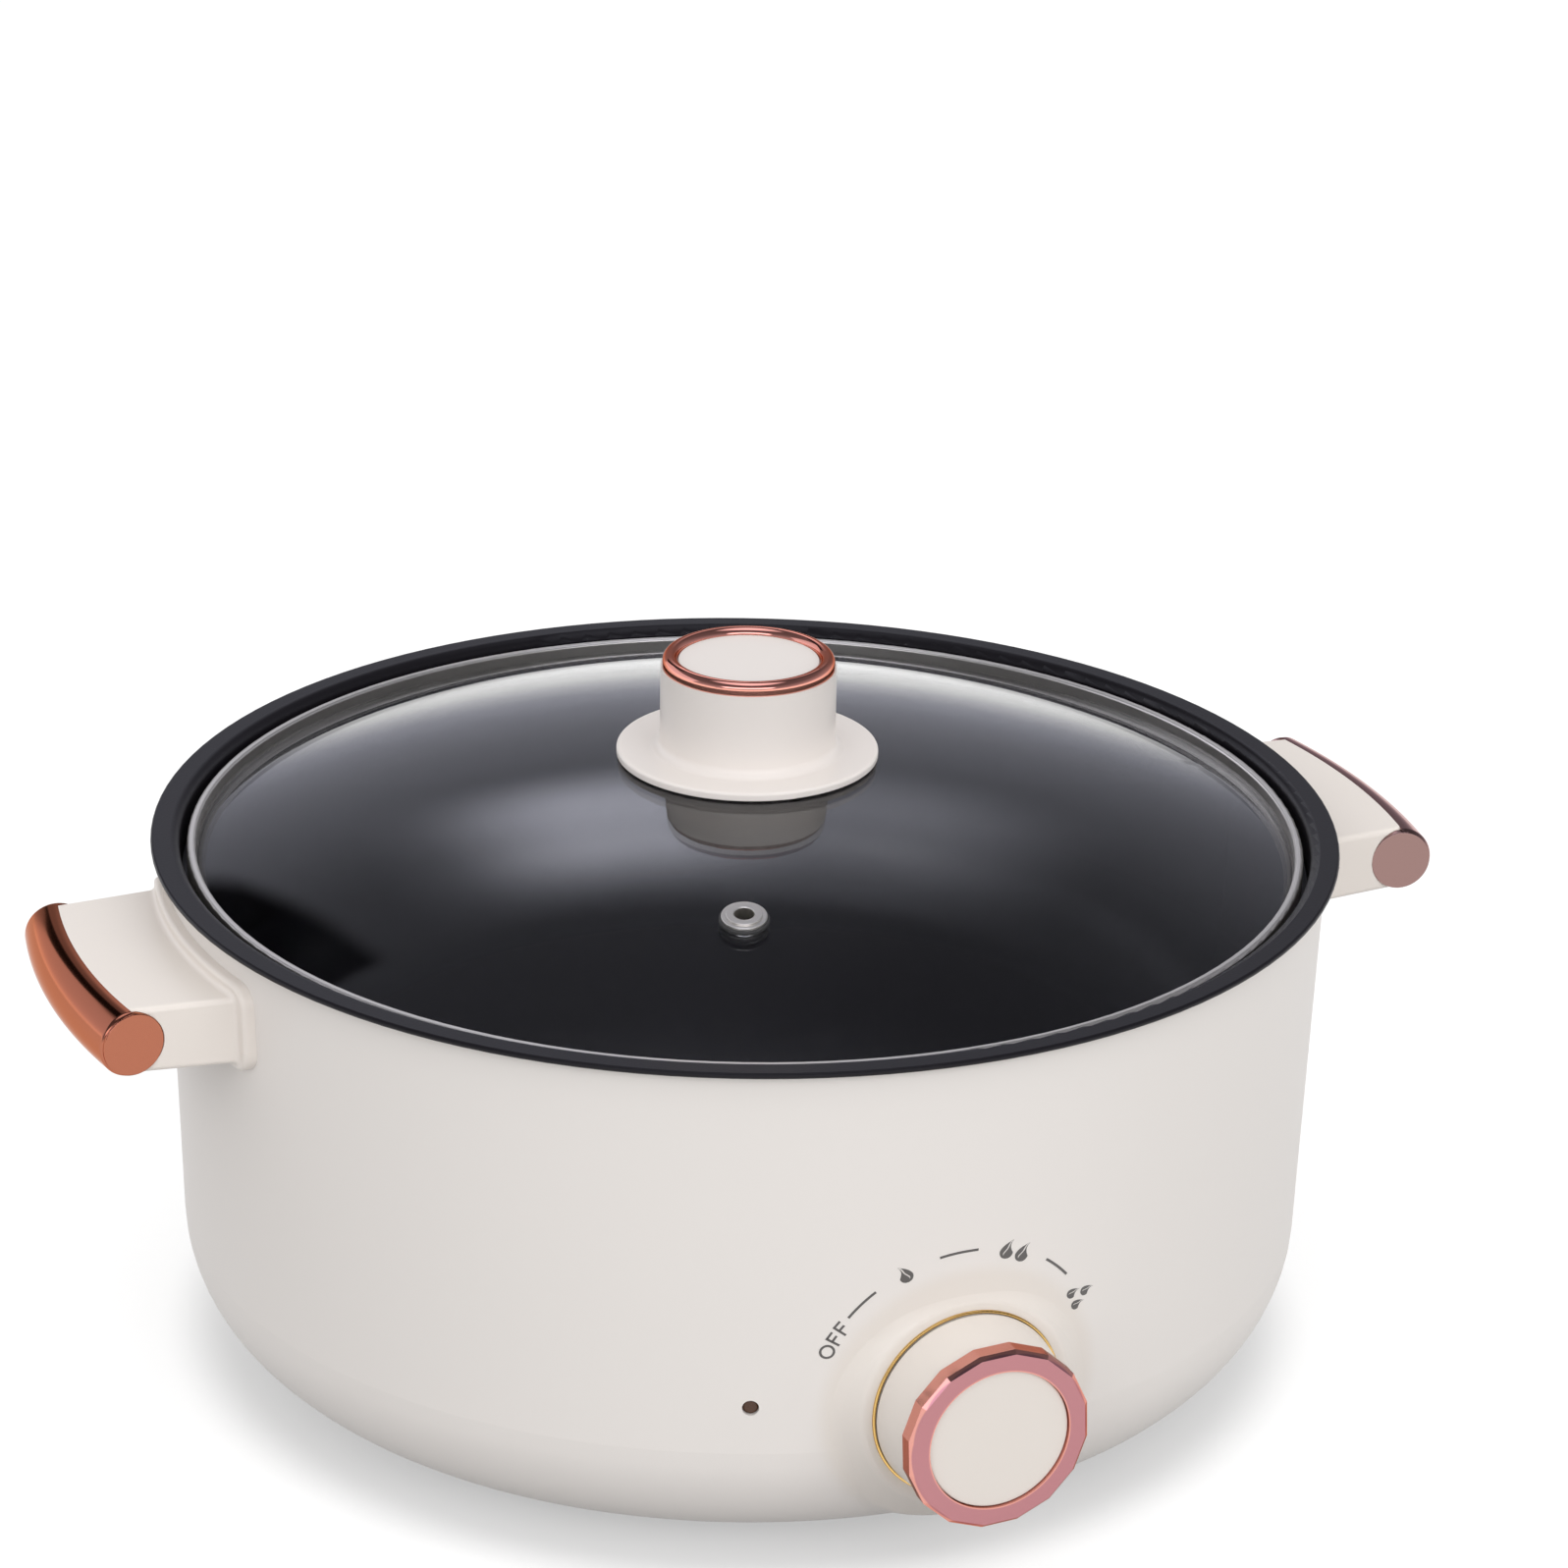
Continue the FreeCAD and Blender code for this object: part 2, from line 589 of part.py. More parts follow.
def thermostat():
    """Bimetal thermostat: a cup on a wide foot, with two flat tabs below."""
    top = PLATE_UNDERSIDE
    cup = turned([(0, top), (THERMOSTAT_FOOT_RADIUS, top), (THERMOSTAT_FOOT_RADIUS, top - THERMOSTAT_FOOT),
                  (THERMOSTAT_RADIUS, top - THERMOSTAT_FOOT),
                  (THERMOSTAT_RADIUS, top - THERMOSTAT_HEIGHT, 1), (0, top - THERMOSTAT_HEIGHT)])
    tabs = tab_pair(top - THERMOSTAT_HEIGHT - TAB_LENGTH, top - THERMOSTAT_HEIGHT)
    return cup.fuse(tabs)


def tab_pair(bottom, top):
    """Two flat push-on terminals side by side."""
    tabs = []
    for side in (-1, 1):
        tab = block(TAB_THICKNESS, TAB_WIDTH, 0.2, bottom, top)
        tabs.append(moved(tab, side * TAB_SPACING / 2, 0))
    return tabs


def fuse_place():
    """Centre of the thermal fuse, which lies along X against the spreader plate."""
    return Vector(0, -FUSE_OFFSET, PLATE_UNDERSIDE - FUSE_RADIUS)


def thermal_fuse():
    """Sleeved thermal fuse with a lead at each end."""
    body = rod(FUSE_RADIUS, -FUSE_LENGTH / 2, FUSE_LENGTH / 2)
    lead = rod(FUSE_LEAD_RADIUS, -FUSE_LENGTH, FUSE_LENGTH)
    fuse = body.fuse(lead)
    fuse.rotate(Vector(0, 0, 0), Vector(0, 1, 0), 90)
    fuse.translate(fuse_place())
    return fuse


def fuse_clip():
    """Steel strap over the fuse: an arch with a foot on each side."""
    half = FUSE_RADIUS + SCREW_GAP
    sheet = CLIP_THICKNESS
    foot = half + CLIP_FOOT
    outline = [
        (-foot, 0), (-half, 0), (-half, -2 * half, half * 0.9), (half, -2 * half, half * 0.9), (half, 0),
        (foot, 0), (foot, -sheet), (half + sheet, -sheet),
        (half + sheet, -2 * half - sheet, half), (-half - sheet, -2 * half - sheet, half),
        (-half - sheet, -sheet), (-foot, -sheet)]
    face = Part.Face(rounded(outline, lambda a, b: Vector(-CLIP_WIDTH / 2, a, b)))
    clip = face.extrude(Vector(CLIP_WIDTH, 0, 0))
    clip.translate(Vector(0, -FUSE_OFFSET, PLATE_UNDERSIDE))
    return clip


# ---- Base

def base_cover():
    """Bottom cover: a disc in the shell's rebate, with a locating rib, vents, bosses and foot pockets."""
    outer = COVER_REBATE_RADIUS - COVER_GAP
    rib = BASE_OPENING_RADIUS - COVER_GAP
    cover = rod(outer, BASE_LIFT, COVER_TOP)
    lip = rod(rib, COVER_TOP, COVER_TOP + COVER_RIB).cut(rod(rib - COVER_RIB_WIDTH, 0, 2 * CAVITY_FLOOR))
    bosses = around(rod(PILLAR_BOSS_RADIUS, BASE_LIFT, COVER_TOP + PILLAR_BOSS),
                    PILLAR_COUNT, PILLAR_RING_RADIUS)
    pockets = around(rod(FOOT_RADIUS + FOOT_GAP, 0, BASE_LIFT + FOOT_SINK),
                     FOOT_COUNT, FOOT_RING_RADIUS, 45)
    backing = around(rod(FOOT_RADIUS + COVER_RIB_WIDTH, COVER_TOP, COVER_TOP + FOOT_SINK),
                     FOOT_COUNT, FOOT_RING_RADIUS, 45)
    slot = block(VENT_SLOT_WIDTH, VENT_SLOT_LENGTH, VENT_SLOT_WIDTH * 0.49, 0, COVER_TOP + 1)
    slots = around(slot, VENT_SLOTS, VENT_SLOT_OUTER - VENT_SLOT_LENGTH / 2)
    sinks = around(rod(BASE_SCREW_HEAD_RADIUS + SCREW_HOLE_GAP, 0, BASE_LIFT + BASE_SCREW_SINK),
                   PILLAR_COUNT, PILLAR_RING_RADIUS)
    bores = around(rod(BASE_SCREW_RADIUS + SCREW_HOLE_GAP, 0, 2 * CAVITY_FLOOR),
                   PILLAR_COUNT, PILLAR_RING_RADIUS)
    return cover.fuse([lip] + bosses + backing).cut(pockets + slots + sinks + bores)


def rubber_feet():
    """Four rubber feet glued in the cover's pockets."""
    foot = turned([(0, 0), (FOOT_RADIUS, 0, 0.8), (FOOT_RADIUS, BASE_LIFT + FOOT_SINK),
                   (0, BASE_LIFT + FOOT_SINK)])
    return Part.makeCompound(around(foot, FOOT_COUNT, FOOT_RING_RADIUS, 45))


def pot_pillars():
    """Three hexagon pillars welded under the pot, which the base screws pull on."""
    bottom = COVER_TOP + PILLAR_BOSS
    corners = []
    for i in range(6):
        angle = math.radians(60 * i)
        corners.append((PILLAR_RADIUS * math.cos(angle), PILLAR_RADIUS * math.sin(angle)))
    pillar = plate(corners, bottom, POT_UNDERSIDE)
    tapped = rod(BASE_SCREW_RADIUS + SCREW_GAP, bottom - 1, bottom + BASE_SCREW_LENGTH + 2)
    return Part.makeCompound(around(pillar.cut(tapped), PILLAR_COUNT, PILLAR_RING_RADIUS))


def base_screws():
    """Three pan-head screws up through the cover into the pillars."""
    seat = BASE_LIFT + BASE_SCREW_SINK
    tip = COVER_TOP + PILLAR_BOSS + BASE_SCREW_LENGTH
    screw = turned([(0, seat - BASE_SCREW_HEAD), (BASE_SCREW_HEAD_RADIUS, seat - BASE_SCREW_HEAD, 1),
                    (BASE_SCREW_HEAD_RADIUS, seat), (BASE_SCREW_RADIUS, seat),
                    (BASE_SCREW_RADIUS, tip), (0, tip)])
    return Part.makeCompound(around(screw, PILLAR_COUNT, PILLAR_RING_RADIUS))


# ---- Handles

def bearing(height, head):
    """Distance from the axis at which a flat head of that radius touches the shell's inner side."""
    return math.sqrt((narrowest(height, head) - SHELL_WALL) ** 2 - head ** 2)


def handle_screw_azimuths():
    """Azimuths of the four handle screws, two for each handle, each at its spread from the middle."""
    spread = math.degrees(math.asin(HANDLE_SCREW_SPREAD / wall_radius(BAR_HEIGHT)))
    return [90 - spread, 90 + spread, 270 - spread, 270 + spread]


def bar_x(y):
    """Distance out to the centre line of the handle's curved bar at a given y."""
    return BAR_CENTRE + math.sqrt(BAR_ARC ** 2 - y ** 2)


def bar_sweep(radius):
    """A half disc about the bar's centre that faces outward, swept along the bar from end to end."""
    foot = Vector(BAR_APEX, 0, BAR_HEIGHT - radius)
    tip = Vector(BAR_APEX + radius, 0, BAR_HEIGHT)
    head = Vector(BAR_APEX, 0, BAR_HEIGHT + radius)
    face = Part.Face(Part.Wire([Part.Arc(foot, tip, head).toShape(), Part.LineSegment(head, foot).toShape()]))
    pivot = Vector(BAR_CENTRE, 0, 0)
    face.rotate(pivot, Vector(0, 0, 1), -BAR_SPREAD)
    return face.revolve(pivot, Vector(0, 0, 1), 2 * BAR_SPREAD)


def at_end(shape, side):
    """A shape made about +Z, moved to the bar's end at y's side: +Z out of the end, +X away from the pot."""
    turn = Rotation(Vector(0, 0, 1), side * BAR_SPREAD) * Rotation(Vector(1, 0, 0), -90 * side)
    placed = shape.copy()
    end = Vector(bar_x(HANDLE_END), side * HANDLE_END, BAR_HEIGHT)
    placed.Placement = Placement(end, turn).multiply(placed.Placement)
    return placed


def mounting_pad():
    """The handle's rounded mounting pad, which follows the shell's wall."""
    x = PAD_WIDTH / 2
    corners = [(-x, PAD_BOTTOM, PAD_CORNER), (x, PAD_BOTTOM, PAD_CORNER),
               (x, PAD_TOP, PAD_CORNER), (-x, PAD_TOP, PAD_CORNER)]
    face = Part.Face(rounded(corners, lambda a, b: Vector(HANDLE_ROOT, a, b)))
    slab = face.extrude(Vector(BAR_APEX, 0, 0))
    low = PAD_BOTTOM - PAD_CORNER
    high = PAD_TOP + PAD_CORNER
    skin = turned([(0, low), (wall_radius(low, -PAD_PROUD), low), (wall_radius(high, -PAD_PROUD), high),
                   (0, high)])
    pad = slab.common(skin)
    front = [e for e in pad.Edges if e.BoundBox.XMin > HANDLE_ROOT + PAD_PROUD]
    return pad.makeFillet(PAD_ROUND, front)


def handle_hollow():
    """The handle's hollow underside, left open between a centre rib and the two ribbed screw bosses."""
    floor = HANDLE_TOP - HANDLE_THICKNESS
    half = HANDLE_END - HANDLE_WALL
    tall = HANDLE_THICKNESS - HANDLE_WALL
    hollow = Part.makeBox(BAR_APEX, 2 * half, 2 * tall, Vector(0, -half, floor - tall))
    hollow = hollow.common(Part.makeCylinder(BAR_ARC - HANDLE_WALL, 4 * tall,
                                             Vector(BAR_CENTRE, 0, floor - 2 * tall)))
    root = wall_radius(HANDLE_TOP, -PAD_PROUD - HANDLE_WALL)
    kept = [rod(root, floor - 2 * tall, floor + 2 * tall)]
    kept.append(aim(block(HANDLE_RIB, 4 * tall, 0, 0, 2 * BAR_APEX), 90, BAR_HEIGHT))
    tip = wall_radius(BAR_HEIGHT) + HANDLE_SCREW_LENGTH + HANDLE_BOSS_TIP
    for azimuth in handle_screw_azimuths()[:2]:
        kept.append(aim(rod(HANDLE_BOSS_RADIUS, 0, tip), azimuth, BAR_HEIGHT))
        kept.append(aim(block(HANDLE_RIB, 4 * tall, 0, 0, 2 * BAR_APEX), azimuth, BAR_HEIGHT))
    return hollow.cut(kept)


def handle_slab():
    """The handle's flat part: from the pad out to the bar's centre line, a little deeper at its root."""
    half_root = HANDLE_ROOT_WIDTH / 2
    bottom = HANDLE_TOP - HANDLE_THICKNESS
    root = bottom - HANDLE_ROOT_DROP
    end_x = bar_x(HANDLE_END)
    lower = [Vector(HANDLE_ROOT, -half_root, root), Vector(end_x, -HANDLE_END, root),
             Vector(BAR_APEX, 0, root), Vector(end_x, HANDLE_END, root), Vector(HANDLE_ROOT, half_root, root)]
    edge = Part.Wire([
        Part.LineSegment(lower[0], lower[1]).toShape(), Part.Arc(lower[1], lower[2], lower[3]).toShape(),
        Part.LineSegment(lower[3], lower[4]).toShape(), Part.LineSegment(lower[4], lower[0]).toShape()])
    slab = Part.Face(edge).extrude(Vector(0, 0, HANDLE_TOP - root))
    below = Part.Face(Part.makePolygon([
        Vector(HANDLE_ROOT, -half_root, root), Vector(BAR_APEX, -half_root, bottom),
        Vector(BAR_APEX, -half_root, root), Vector(HANDLE_ROOT, -half_root, root)]))
    slab = slab.cut(below.extrude(Vector(0, 2 * half_root, 0)))
    sides = [e for e in slab.Edges if e.BoundBox.XLength > HANDLE_END / 2 > e.BoundBox.YLength]
    return slab.makeFillet(HANDLE_EDGE_ROUND, sides)


def right_handle():
    """Moulded handle: a slab from the mounting pad out to the curved bar, cut to the shell's wall."""
    body = handle_slab().fuse(mounting_pad())
    body = body.makeFillet(PAD_ROOT_ROUND, pad_root(body))
    drum = shell_form(0, BASE_LIFT, SHELL_TOP)
    cuts = [handle_hollow(), drum]
    for azimuth in handle_screw_azimuths()[:2]:
        reach = wall_radius(BAR_HEIGHT) + HANDLE_SCREW_LENGTH
        cuts.append(aim(rod(HANDLE_SCREW_RADIUS + SCREW_GAP, 0, reach), azimuth, BAR_HEIGHT))
    for side in (-1, 1):
        cuts.append(at_end(rod(TRIM_DISC_RADIUS + TRIM_GAP, 0, 2 * TRIM_CAP), side))
    return body.fuse(bar_sweep(BAR_RADIUS - TRIM_THICKNESS)).cut(cuts)


def pad_root(body):
    """The edges where the handle's slab leaves the pad's outer face."""
    edges = []
    for edge in body.Edges:
        box = edge.BoundBox
        ends = [edge.valueAt(edge.FirstParameter), edge.valueAt(edge.LastParameter)]
        on_face = all(abs(math.hypot(p.x, p.y) - wall_radius(p.z, -PAD_PROUD)) < TRIM_GAP for p in ends)
        inside = abs(box.YMin) < HANDLE_ROOT_WIDTH / 2 and abs(box.YMax) < HANDLE_ROOT_WIDTH / 2
        if on_face and inside and box.ZMin > PAD_BOTTOM + PAD_ROUND and box.ZMax < PAD_TOP - PAD_ROUND:
            edges.append(edge)
    return edges


def right_handle_trim():
    """Plated trim: a half tube round the bar's outer side, with a rounded lip and a full disc at each end."""
    tube = bar_sweep(BAR_RADIUS).cut(bar_sweep(BAR_RADIUS - TRIM_THICKNESS + TRIM_GAP))
    lip_top = TRIM_CAP - TRIM_DISC_PROUD
    lip = turned([(0, 0), (BAR_RADIUS, 0), (BAR_RADIUS, lip_top, TRIM_ROUND), (0, lip_top)])
    lip = lip.common(Part.makeBox(2 * BAR_RADIUS, 4 * BAR_RADIUS, TRIM_CAP, Vector(0, -2 * BAR_RADIUS, 0)))
    disc = turned([
        (0, 0), (TRIM_DISC_RADIUS, 0), (TRIM_DISC_RADIUS, TRIM_CAP, TRIM_DISC_ROUND), (0, TRIM_CAP)])
    end = lip.fuse(disc)
    return tube.fuse([at_end(end, -1), at_end(end, 1)])


def mirrored(shape):
    """The other side's copy of a handle piece."""
    return shape.mirror(Vector(0, 0, 0), Vector(1, 0, 0))


def handle_screws():
    """Four screws from inside the shell out into the handles."""
    seat = bearing(BAR_HEIGHT, HANDLE_SCREW_HEAD_RADIUS)
    tip = seat + HANDLE_SCREW_LENGTH
    screw = turned([(0, seat - HANDLE_SCREW_HEAD), (HANDLE_SCREW_HEAD_RADIUS, seat - HANDLE_SCREW_HEAD, 0.8),
                    (HANDLE_SCREW_HEAD_RADIUS, seat), (HANDLE_SCREW_RADIUS, seat),
                    (HANDLE_SCREW_RADIUS, tip), (0, tip)])
    return Part.makeCompound([aim(screw, azimuth, BAR_HEIGHT) for azimuth in handle_screw_azimuths()])


# ---- Dial, switch and lamp

def knob_base_ring():
    """Thin gilt ring on the boss, round the foot of the dial."""
    inner = BASE_RING_RADIUS - BASE_RING_WIDTH
    top = BOSS_FACE + BASE_RING_HEIGHT
    ring = turned([(inner, BOSS_FACE), (BASE_RING_RADIUS, BOSS_FACE), (BASE_RING_RADIUS, top, 0.3),
                   (inner, top, 0.3)])
    return aim(ring, 0, DIAL_HEIGHT)


def knob_body():
    """Hollow dial body: a tapered cup with a neck for the ring and a hub bored for the flatted shaft."""
    back = BOSS_FACE + BASE_RING_HEIGHT + DIAL_GAP
    step = BOSS_FACE + RING_BACK
    front = BOSS_FACE + DIAL_CAP_FRONT - DIAL_CAP_THICKNESS
    inner_front = front - DIAL_FRONT_WALL
    neck = RING_BORE_RADIUS - SHAFT_GAP
    cup = turned([
        (DIAL_BACK_RADIUS - DIAL_WALL, back), (DIAL_BACK_RADIUS, back, 0.4), (DIAL_NECK_RADIUS, step),
        (neck, step), (neck, front), (0, front), (0, inner_front), (neck - DIAL_WALL, inner_front, 1.5)])
    hub = rod(DIAL_HUB_RADIUS, NOSE_FRONT + DIAL_GAP, front)
    return aim(cup.fuse(hub).cut(shaft_form(SHAFT_GAP)), 0, DIAL_HEIGHT)


def shaft_form(gap):
    """The switch shaft, flatted where the dial grips it, grown by a gap."""
    tail = BOSS_INNER_FACE - BRACKET_THICKNESS - SHAFT_TAIL
    tip = BOSS_FACE + SHAFT_REACH + gap
    shaft = rod(SHAFT_RADIUS + gap, tail, tip)
    size = 4 * SHAFT_RADIUS
    corner = Vector(-size / 2, SHAFT_RADIUS - SHAFT_FLAT + gap, NOSE_FRONT + DIAL_GAP)
    flat = Part.makeBox(size, size, tip, corner)
    return shaft.cut(flat)


def switch_shaft():
    """Steel shaft from the switch through the boss into the dial's hub."""
    return aim(shaft_form(0), 0, DIAL_HEIGHT)


def facets(radius, bottom, top, top_radius=None):
    """A prism, or a frustum when top_radius is given, with as many flat sides as the dial ring."""
    wires = []
    for size, height in ((radius, bottom), (radius if top_radius is None else top_radius, top)):
        corners = []
        for i in range(RING_FACETS):
            angle = math.tau * i / RING_FACETS + math.radians(RING_TURN)
            corners.append((size * math.cos(angle), size * math.sin(angle)))
        wires.append(rounded(corners, lambda a, b, z=height: Vector(a, b, z)))
    return Part.makeLoft(wires, True, True)


def knob_ring():
    """Plated ring with flat facets round its edge and a bevelled front, pushed over the dial's neck."""
    back = BOSS_FACE + RING_BACK
    front = BOSS_FACE + RING_FRONT
    body = facets(RING_CORNER_RADIUS, back, front - RING_BEVEL)
    bevel = facets(RING_CORNER_RADIUS, front - RING_BEVEL, front, RING_CORNER_RADIUS - RING_BEVEL)
    lip_back = BOSS_FACE + DIAL_CAP_FRONT - DIAL_CAP_THICKNESS
    bore = turned([(0, back - 1), (RING_BORE_RADIUS, back - 1), (RING_BORE_RADIUS, lip_back),
                   (DIAL_CAP_RADIUS + SCREW_GAP, lip_back), (DIAL_CAP_RADIUS + SCREW_GAP, front + 1),
                   (0, front + 1)])
    return aim(body.fuse(bevel).cut(bore), 0, DIAL_HEIGHT)


def knob_cap():
    """Cream disc that closes the dial inside the ring."""
    front = BOSS_FACE + DIAL_CAP_FRONT
    back = front - DIAL_CAP_THICKNESS
    cap = turned([(0, back), (DIAL_CAP_RADIUS, back), (DIAL_CAP_RADIUS, front, 0.4), (0, front)])
    return aim(cap, 0, DIAL_HEIGHT)


def switch_bracket():
    """Steel plate between the switch and the boss, tapped for the two screws."""
    front = BOSS_INNER_FACE
    back = front - BRACKET_THICKNESS
    bar = block(BRACKET_LENGTH, BRACKET_WIDTH, 3, back, front)
    bores = [rod(SWITCH_NOSE_RADIUS + SCREW_GAP, back - 1, front + 1)]
    for side in (-1, 1):
        bore = rod(SMALL_SCREW_RADIUS + SCREW_GAP, back - 1, front + 1)
        bores.append(moved(bore, side * SWITCH_SCREW_SPACING / 2, 0))
    return aim(bar.cut(bores), 0, DIAL_HEIGHT)


def rotary_switch():
    """Switch housing with its nose through the boss and push-on tabs at the back."""
    front = BOSS_INNER_FACE - BRACKET_THICKNESS
    back = front - SWITCH_DEPTH
    case = block(SWITCH_SIDE, SWITCH_SIDE, SWITCH_ROUND, back, front)
    nose = rod(SWITCH_NOSE_RADIUS, front, NOSE_FRONT)
    tabs = tab_pair(back - TAB_LENGTH, back)
    body = case.fuse([nose] + tabs)
    bore = rod(SHAFT_RADIUS + SHAFT_GAP, front - SHAFT_TAIL - SHAFT_GAP, BOSS_FACE + WALL_PASS)
    return aim(body.cut(bore), 0, DIAL_HEIGHT)


def switch_screws():
    """Two countersunk screws under the dial, through the boss into the bracket."""
    screws = []
    for side in (-1, 1):
        screw = moved(countersunk(SMALL_SCREW_RADIUS), side * SWITCH_SCREW_SPACING / 2, 0, BOSS_FACE)
        screws.append(aim(screw, 0, DIAL_HEIGHT))
    return Part.makeCompound(screws)


def indicator_lens():
    """Amber lens: a domed plug with a flange against the inside of the shell."""
    front = wall_radius(LAMP_HEIGHT, LENS_RECESS)
    seat = bearing(LAMP_HEIGHT, LENS_FLANGE_RADIUS)
    lens = turned([(0, seat - LENS_FLANGE), (LENS_FLANGE_RADIUS, seat - LENS_FLANGE),
                   (LENS_FLANGE_RADIUS, seat), (LENS_RADIUS, seat), (LENS_RADIUS, front, 0.9), (0, front)])
    return aim(lens, LAMP_AZIMUTH, LAMP_HEIGHT)


def indicator_lamp():
    """Lamp behind the lens, with two leads."""
    front = bearing(LAMP_HEIGHT, LENS_FLANGE_RADIUS) - LENS_FLANGE
    back = front - LAMP_LENGTH
    bulb = turned([(0, back), (LAMP_RADIUS, back), (LAMP_RADIUS, front, 0.5), (0, front)])
    leads = []
    for side in (-1, 1):
        lead = rod(LAMP_LEAD_RADIUS, back - LAMP_LEAD_LENGTH, back)
        leads.append(moved(lead, side * LAMP_RADIUS / 2, 0))
    return aim(bulb.fuse(leads), LAMP_AZIMUTH, LAMP_HEIGHT)


# ---- Power inlet

def socket_outline():
    """Corners of the socket's mouth: a rectangle with two chamfered corners."""
    x = SOCKET_WIDTH / 2
    y = SOCKET_TALL / 2
    cut = SOCKET_CHAMFER
    return [(-x, y, 1), (-x, -y + cut), (-x + cut, -y), (x - cut, -y), (x, -y + cut), (x, y, 1)]


def power_inlet():
    """Appliance inlet: a flange on the pad and a cup with a chamfered mouth."""
    face = INLET_FACE + INLET_FLANGE
    flange = block(INLET_FLANGE_WIDTH, INLET_FLANGE_TALL, INLET_FLANGE_ROUND, INLET_FACE, face)
    cup = block(INLET_BODY_WIDTH, INLET_BODY_TALL, INLET_BODY_ROUND, face - INLET_BODY_DEPTH, INLET_FACE)
    mouth = plate(socket_outline(), face - SOCKET_DEPTH, face + 1)
    cuts = [mouth]
    for side in (-1, 1):
        hole = moved(countersunk(SMALL_SCREW_RADIUS + SCREW_GAP, SCREW_GAP), 0, 0, face)
        cuts.append(moved(hole, side * INLET_SCREW_SPACING / 2, 0))
    for pin in inlet_pin_forms(SCREW_GAP):
        cuts.append(pin)
    return aim(flange.fuse(cup).cut(cuts), INLET_AZIMUTH, INLET_HEIGHT)


def inlet_pin_forms(gap):
    """The two flat pins and the earth pin, grown by a gap."""
    back = INLET_FACE + INLET_FLANGE - SOCKET_DEPTH
    pins = []
    for x, y in ((-INLET_PIN_SPACING / 2, 0), (INLET_PIN_SPACING / 2, 0), (0, -INLET_EARTH_DROP)):
        pin = block(INLET_PIN_WIDTH + 2 * gap, INLET_PIN_TALL + 2 * gap, 0.4,
                    back - INLET_PIN_TAIL, back + INLET_PIN_REACH)
        pins.append(moved(pin, x, y))
    return pins


def inlet_pins():
    """Three plated pins through the floor of the inlet's cup."""
    return Part.makeCompound([aim(pin, INLET_AZIMUTH, INLET_HEIGHT) for pin in inlet_pin_forms(0)])


def inlet_screws():
    """Two countersunk screws through the inlet's flange into the pad."""
    face = INLET_FACE + INLET_FLANGE
    screws = []
    for side in (-1, 1):
        screw = moved(countersunk(SMALL_SCREW_RADIUS), side * INLET_SCREW_SPACING / 2, 0, face)
        screws.append(aim(screw, INLET_AZIMUTH, INLET_HEIGHT))
    return Part.makeCompound(screws)


# ---- Wires inside the base.  A terminal is the tip of a tab or pin, the way out of it and its half width.

def tab_terminal(frame, side, reach, away=-1):
    """Terminal at a push-on tab's tip, in the frame of the device that carries the pair."""
    tip = frame.multVec(Vector(side * TAB_SPACING / 2, 0, reach))
    half = math.hypot(TAB_WIDTH, TAB_THICKNESS) / 2
    return tip, frame.Rotation.multVec(Vector(0, 0, away)), half + SCREW_GAP


def switch_terminal(side):
    """Terminal of one of the rotary switch's tabs."""
    back = BOSS_INNER_FACE - BRACKET_THICKNESS - SWITCH_DEPTH - TAB_LENGTH
    return tab_terminal(outward(0, DIAL_HEIGHT), side, back)


def thermostat_terminal(side):
    """Terminal of one of the thermostat's tabs."""
    return tab_terminal(Placement(), side, PLATE_UNDERSIDE - THERMOSTAT_HEIGHT - TAB_LENGTH)


def inlet_terminal(x, y):
    """Terminal at the inner end of the inlet pin that stands at x, y on the inlet's face."""
    frame = outward(INLET_AZIMUTH, INLET_HEIGHT)
    tip = frame.multVec(Vector(x, y, INLET_FACE + INLET_FLANGE - SOCKET_DEPTH - INLET_PIN_TAIL))
    half = math.hypot(INLET_PIN_WIDTH, INLET_PIN_TALL) / 2
    return tip, frame.Rotation.multVec(Vector(0, 0, -1)), half + SCREW_GAP


def heater_terminal(last):
    """Terminal at the cold pin in the heating tube's first or last end."""
    edge = tube_path().Edges[-1 if last else 0]
    tip = edge.valueAt(edge.LastParameter if last else edge.FirstParameter)
    return tip - Vector(0, 0, PIN_LENGTH), Vector(0, 0, -1), PIN_RADIUS + SCREW_GAP


def fuse_terminal(side):
    """Terminal at one of the thermal fuse's leads."""
    return fuse_place() + Vector(side * FUSE_LENGTH, 0, 0), Vector(side, 0, 0), FUSE_LEAD_RADIUS + SCREW_GAP


def lamp_terminal(side):
    """Terminal at one of the lamp's leads."""
    frame = outward(LAMP_AZIMUTH, LAMP_HEIGHT)
    end = bearing(LAMP_HEIGHT, LENS_FLANGE_RADIUS) - LENS_FLANGE - LAMP_LENGTH - LAMP_LEAD_LENGTH
    tip = frame.multVec(Vector(side * LAMP_RADIUS / 2, 0, end))
    return tip, frame.Rotation.multVec(Vector(0, 0, -1)), LAMP_LEAD_RADIUS + SCREW_GAP


def boot(terminal):
    """Insulating sleeve over a terminal, closed past its tip."""
    tip, way, grip = terminal
    wall = min(BOOT_WALL, grip)
    sleeve = rod(grip + wall, -BOOT_LENGTH * 0.9, BOOT_END).cut(rod(grip, -BOOT_LENGTH, SCREW_GAP))
    sleeve.Placement = Placement(tip, Rotation(Vector(0, 0, 1), way))
    return sleeve


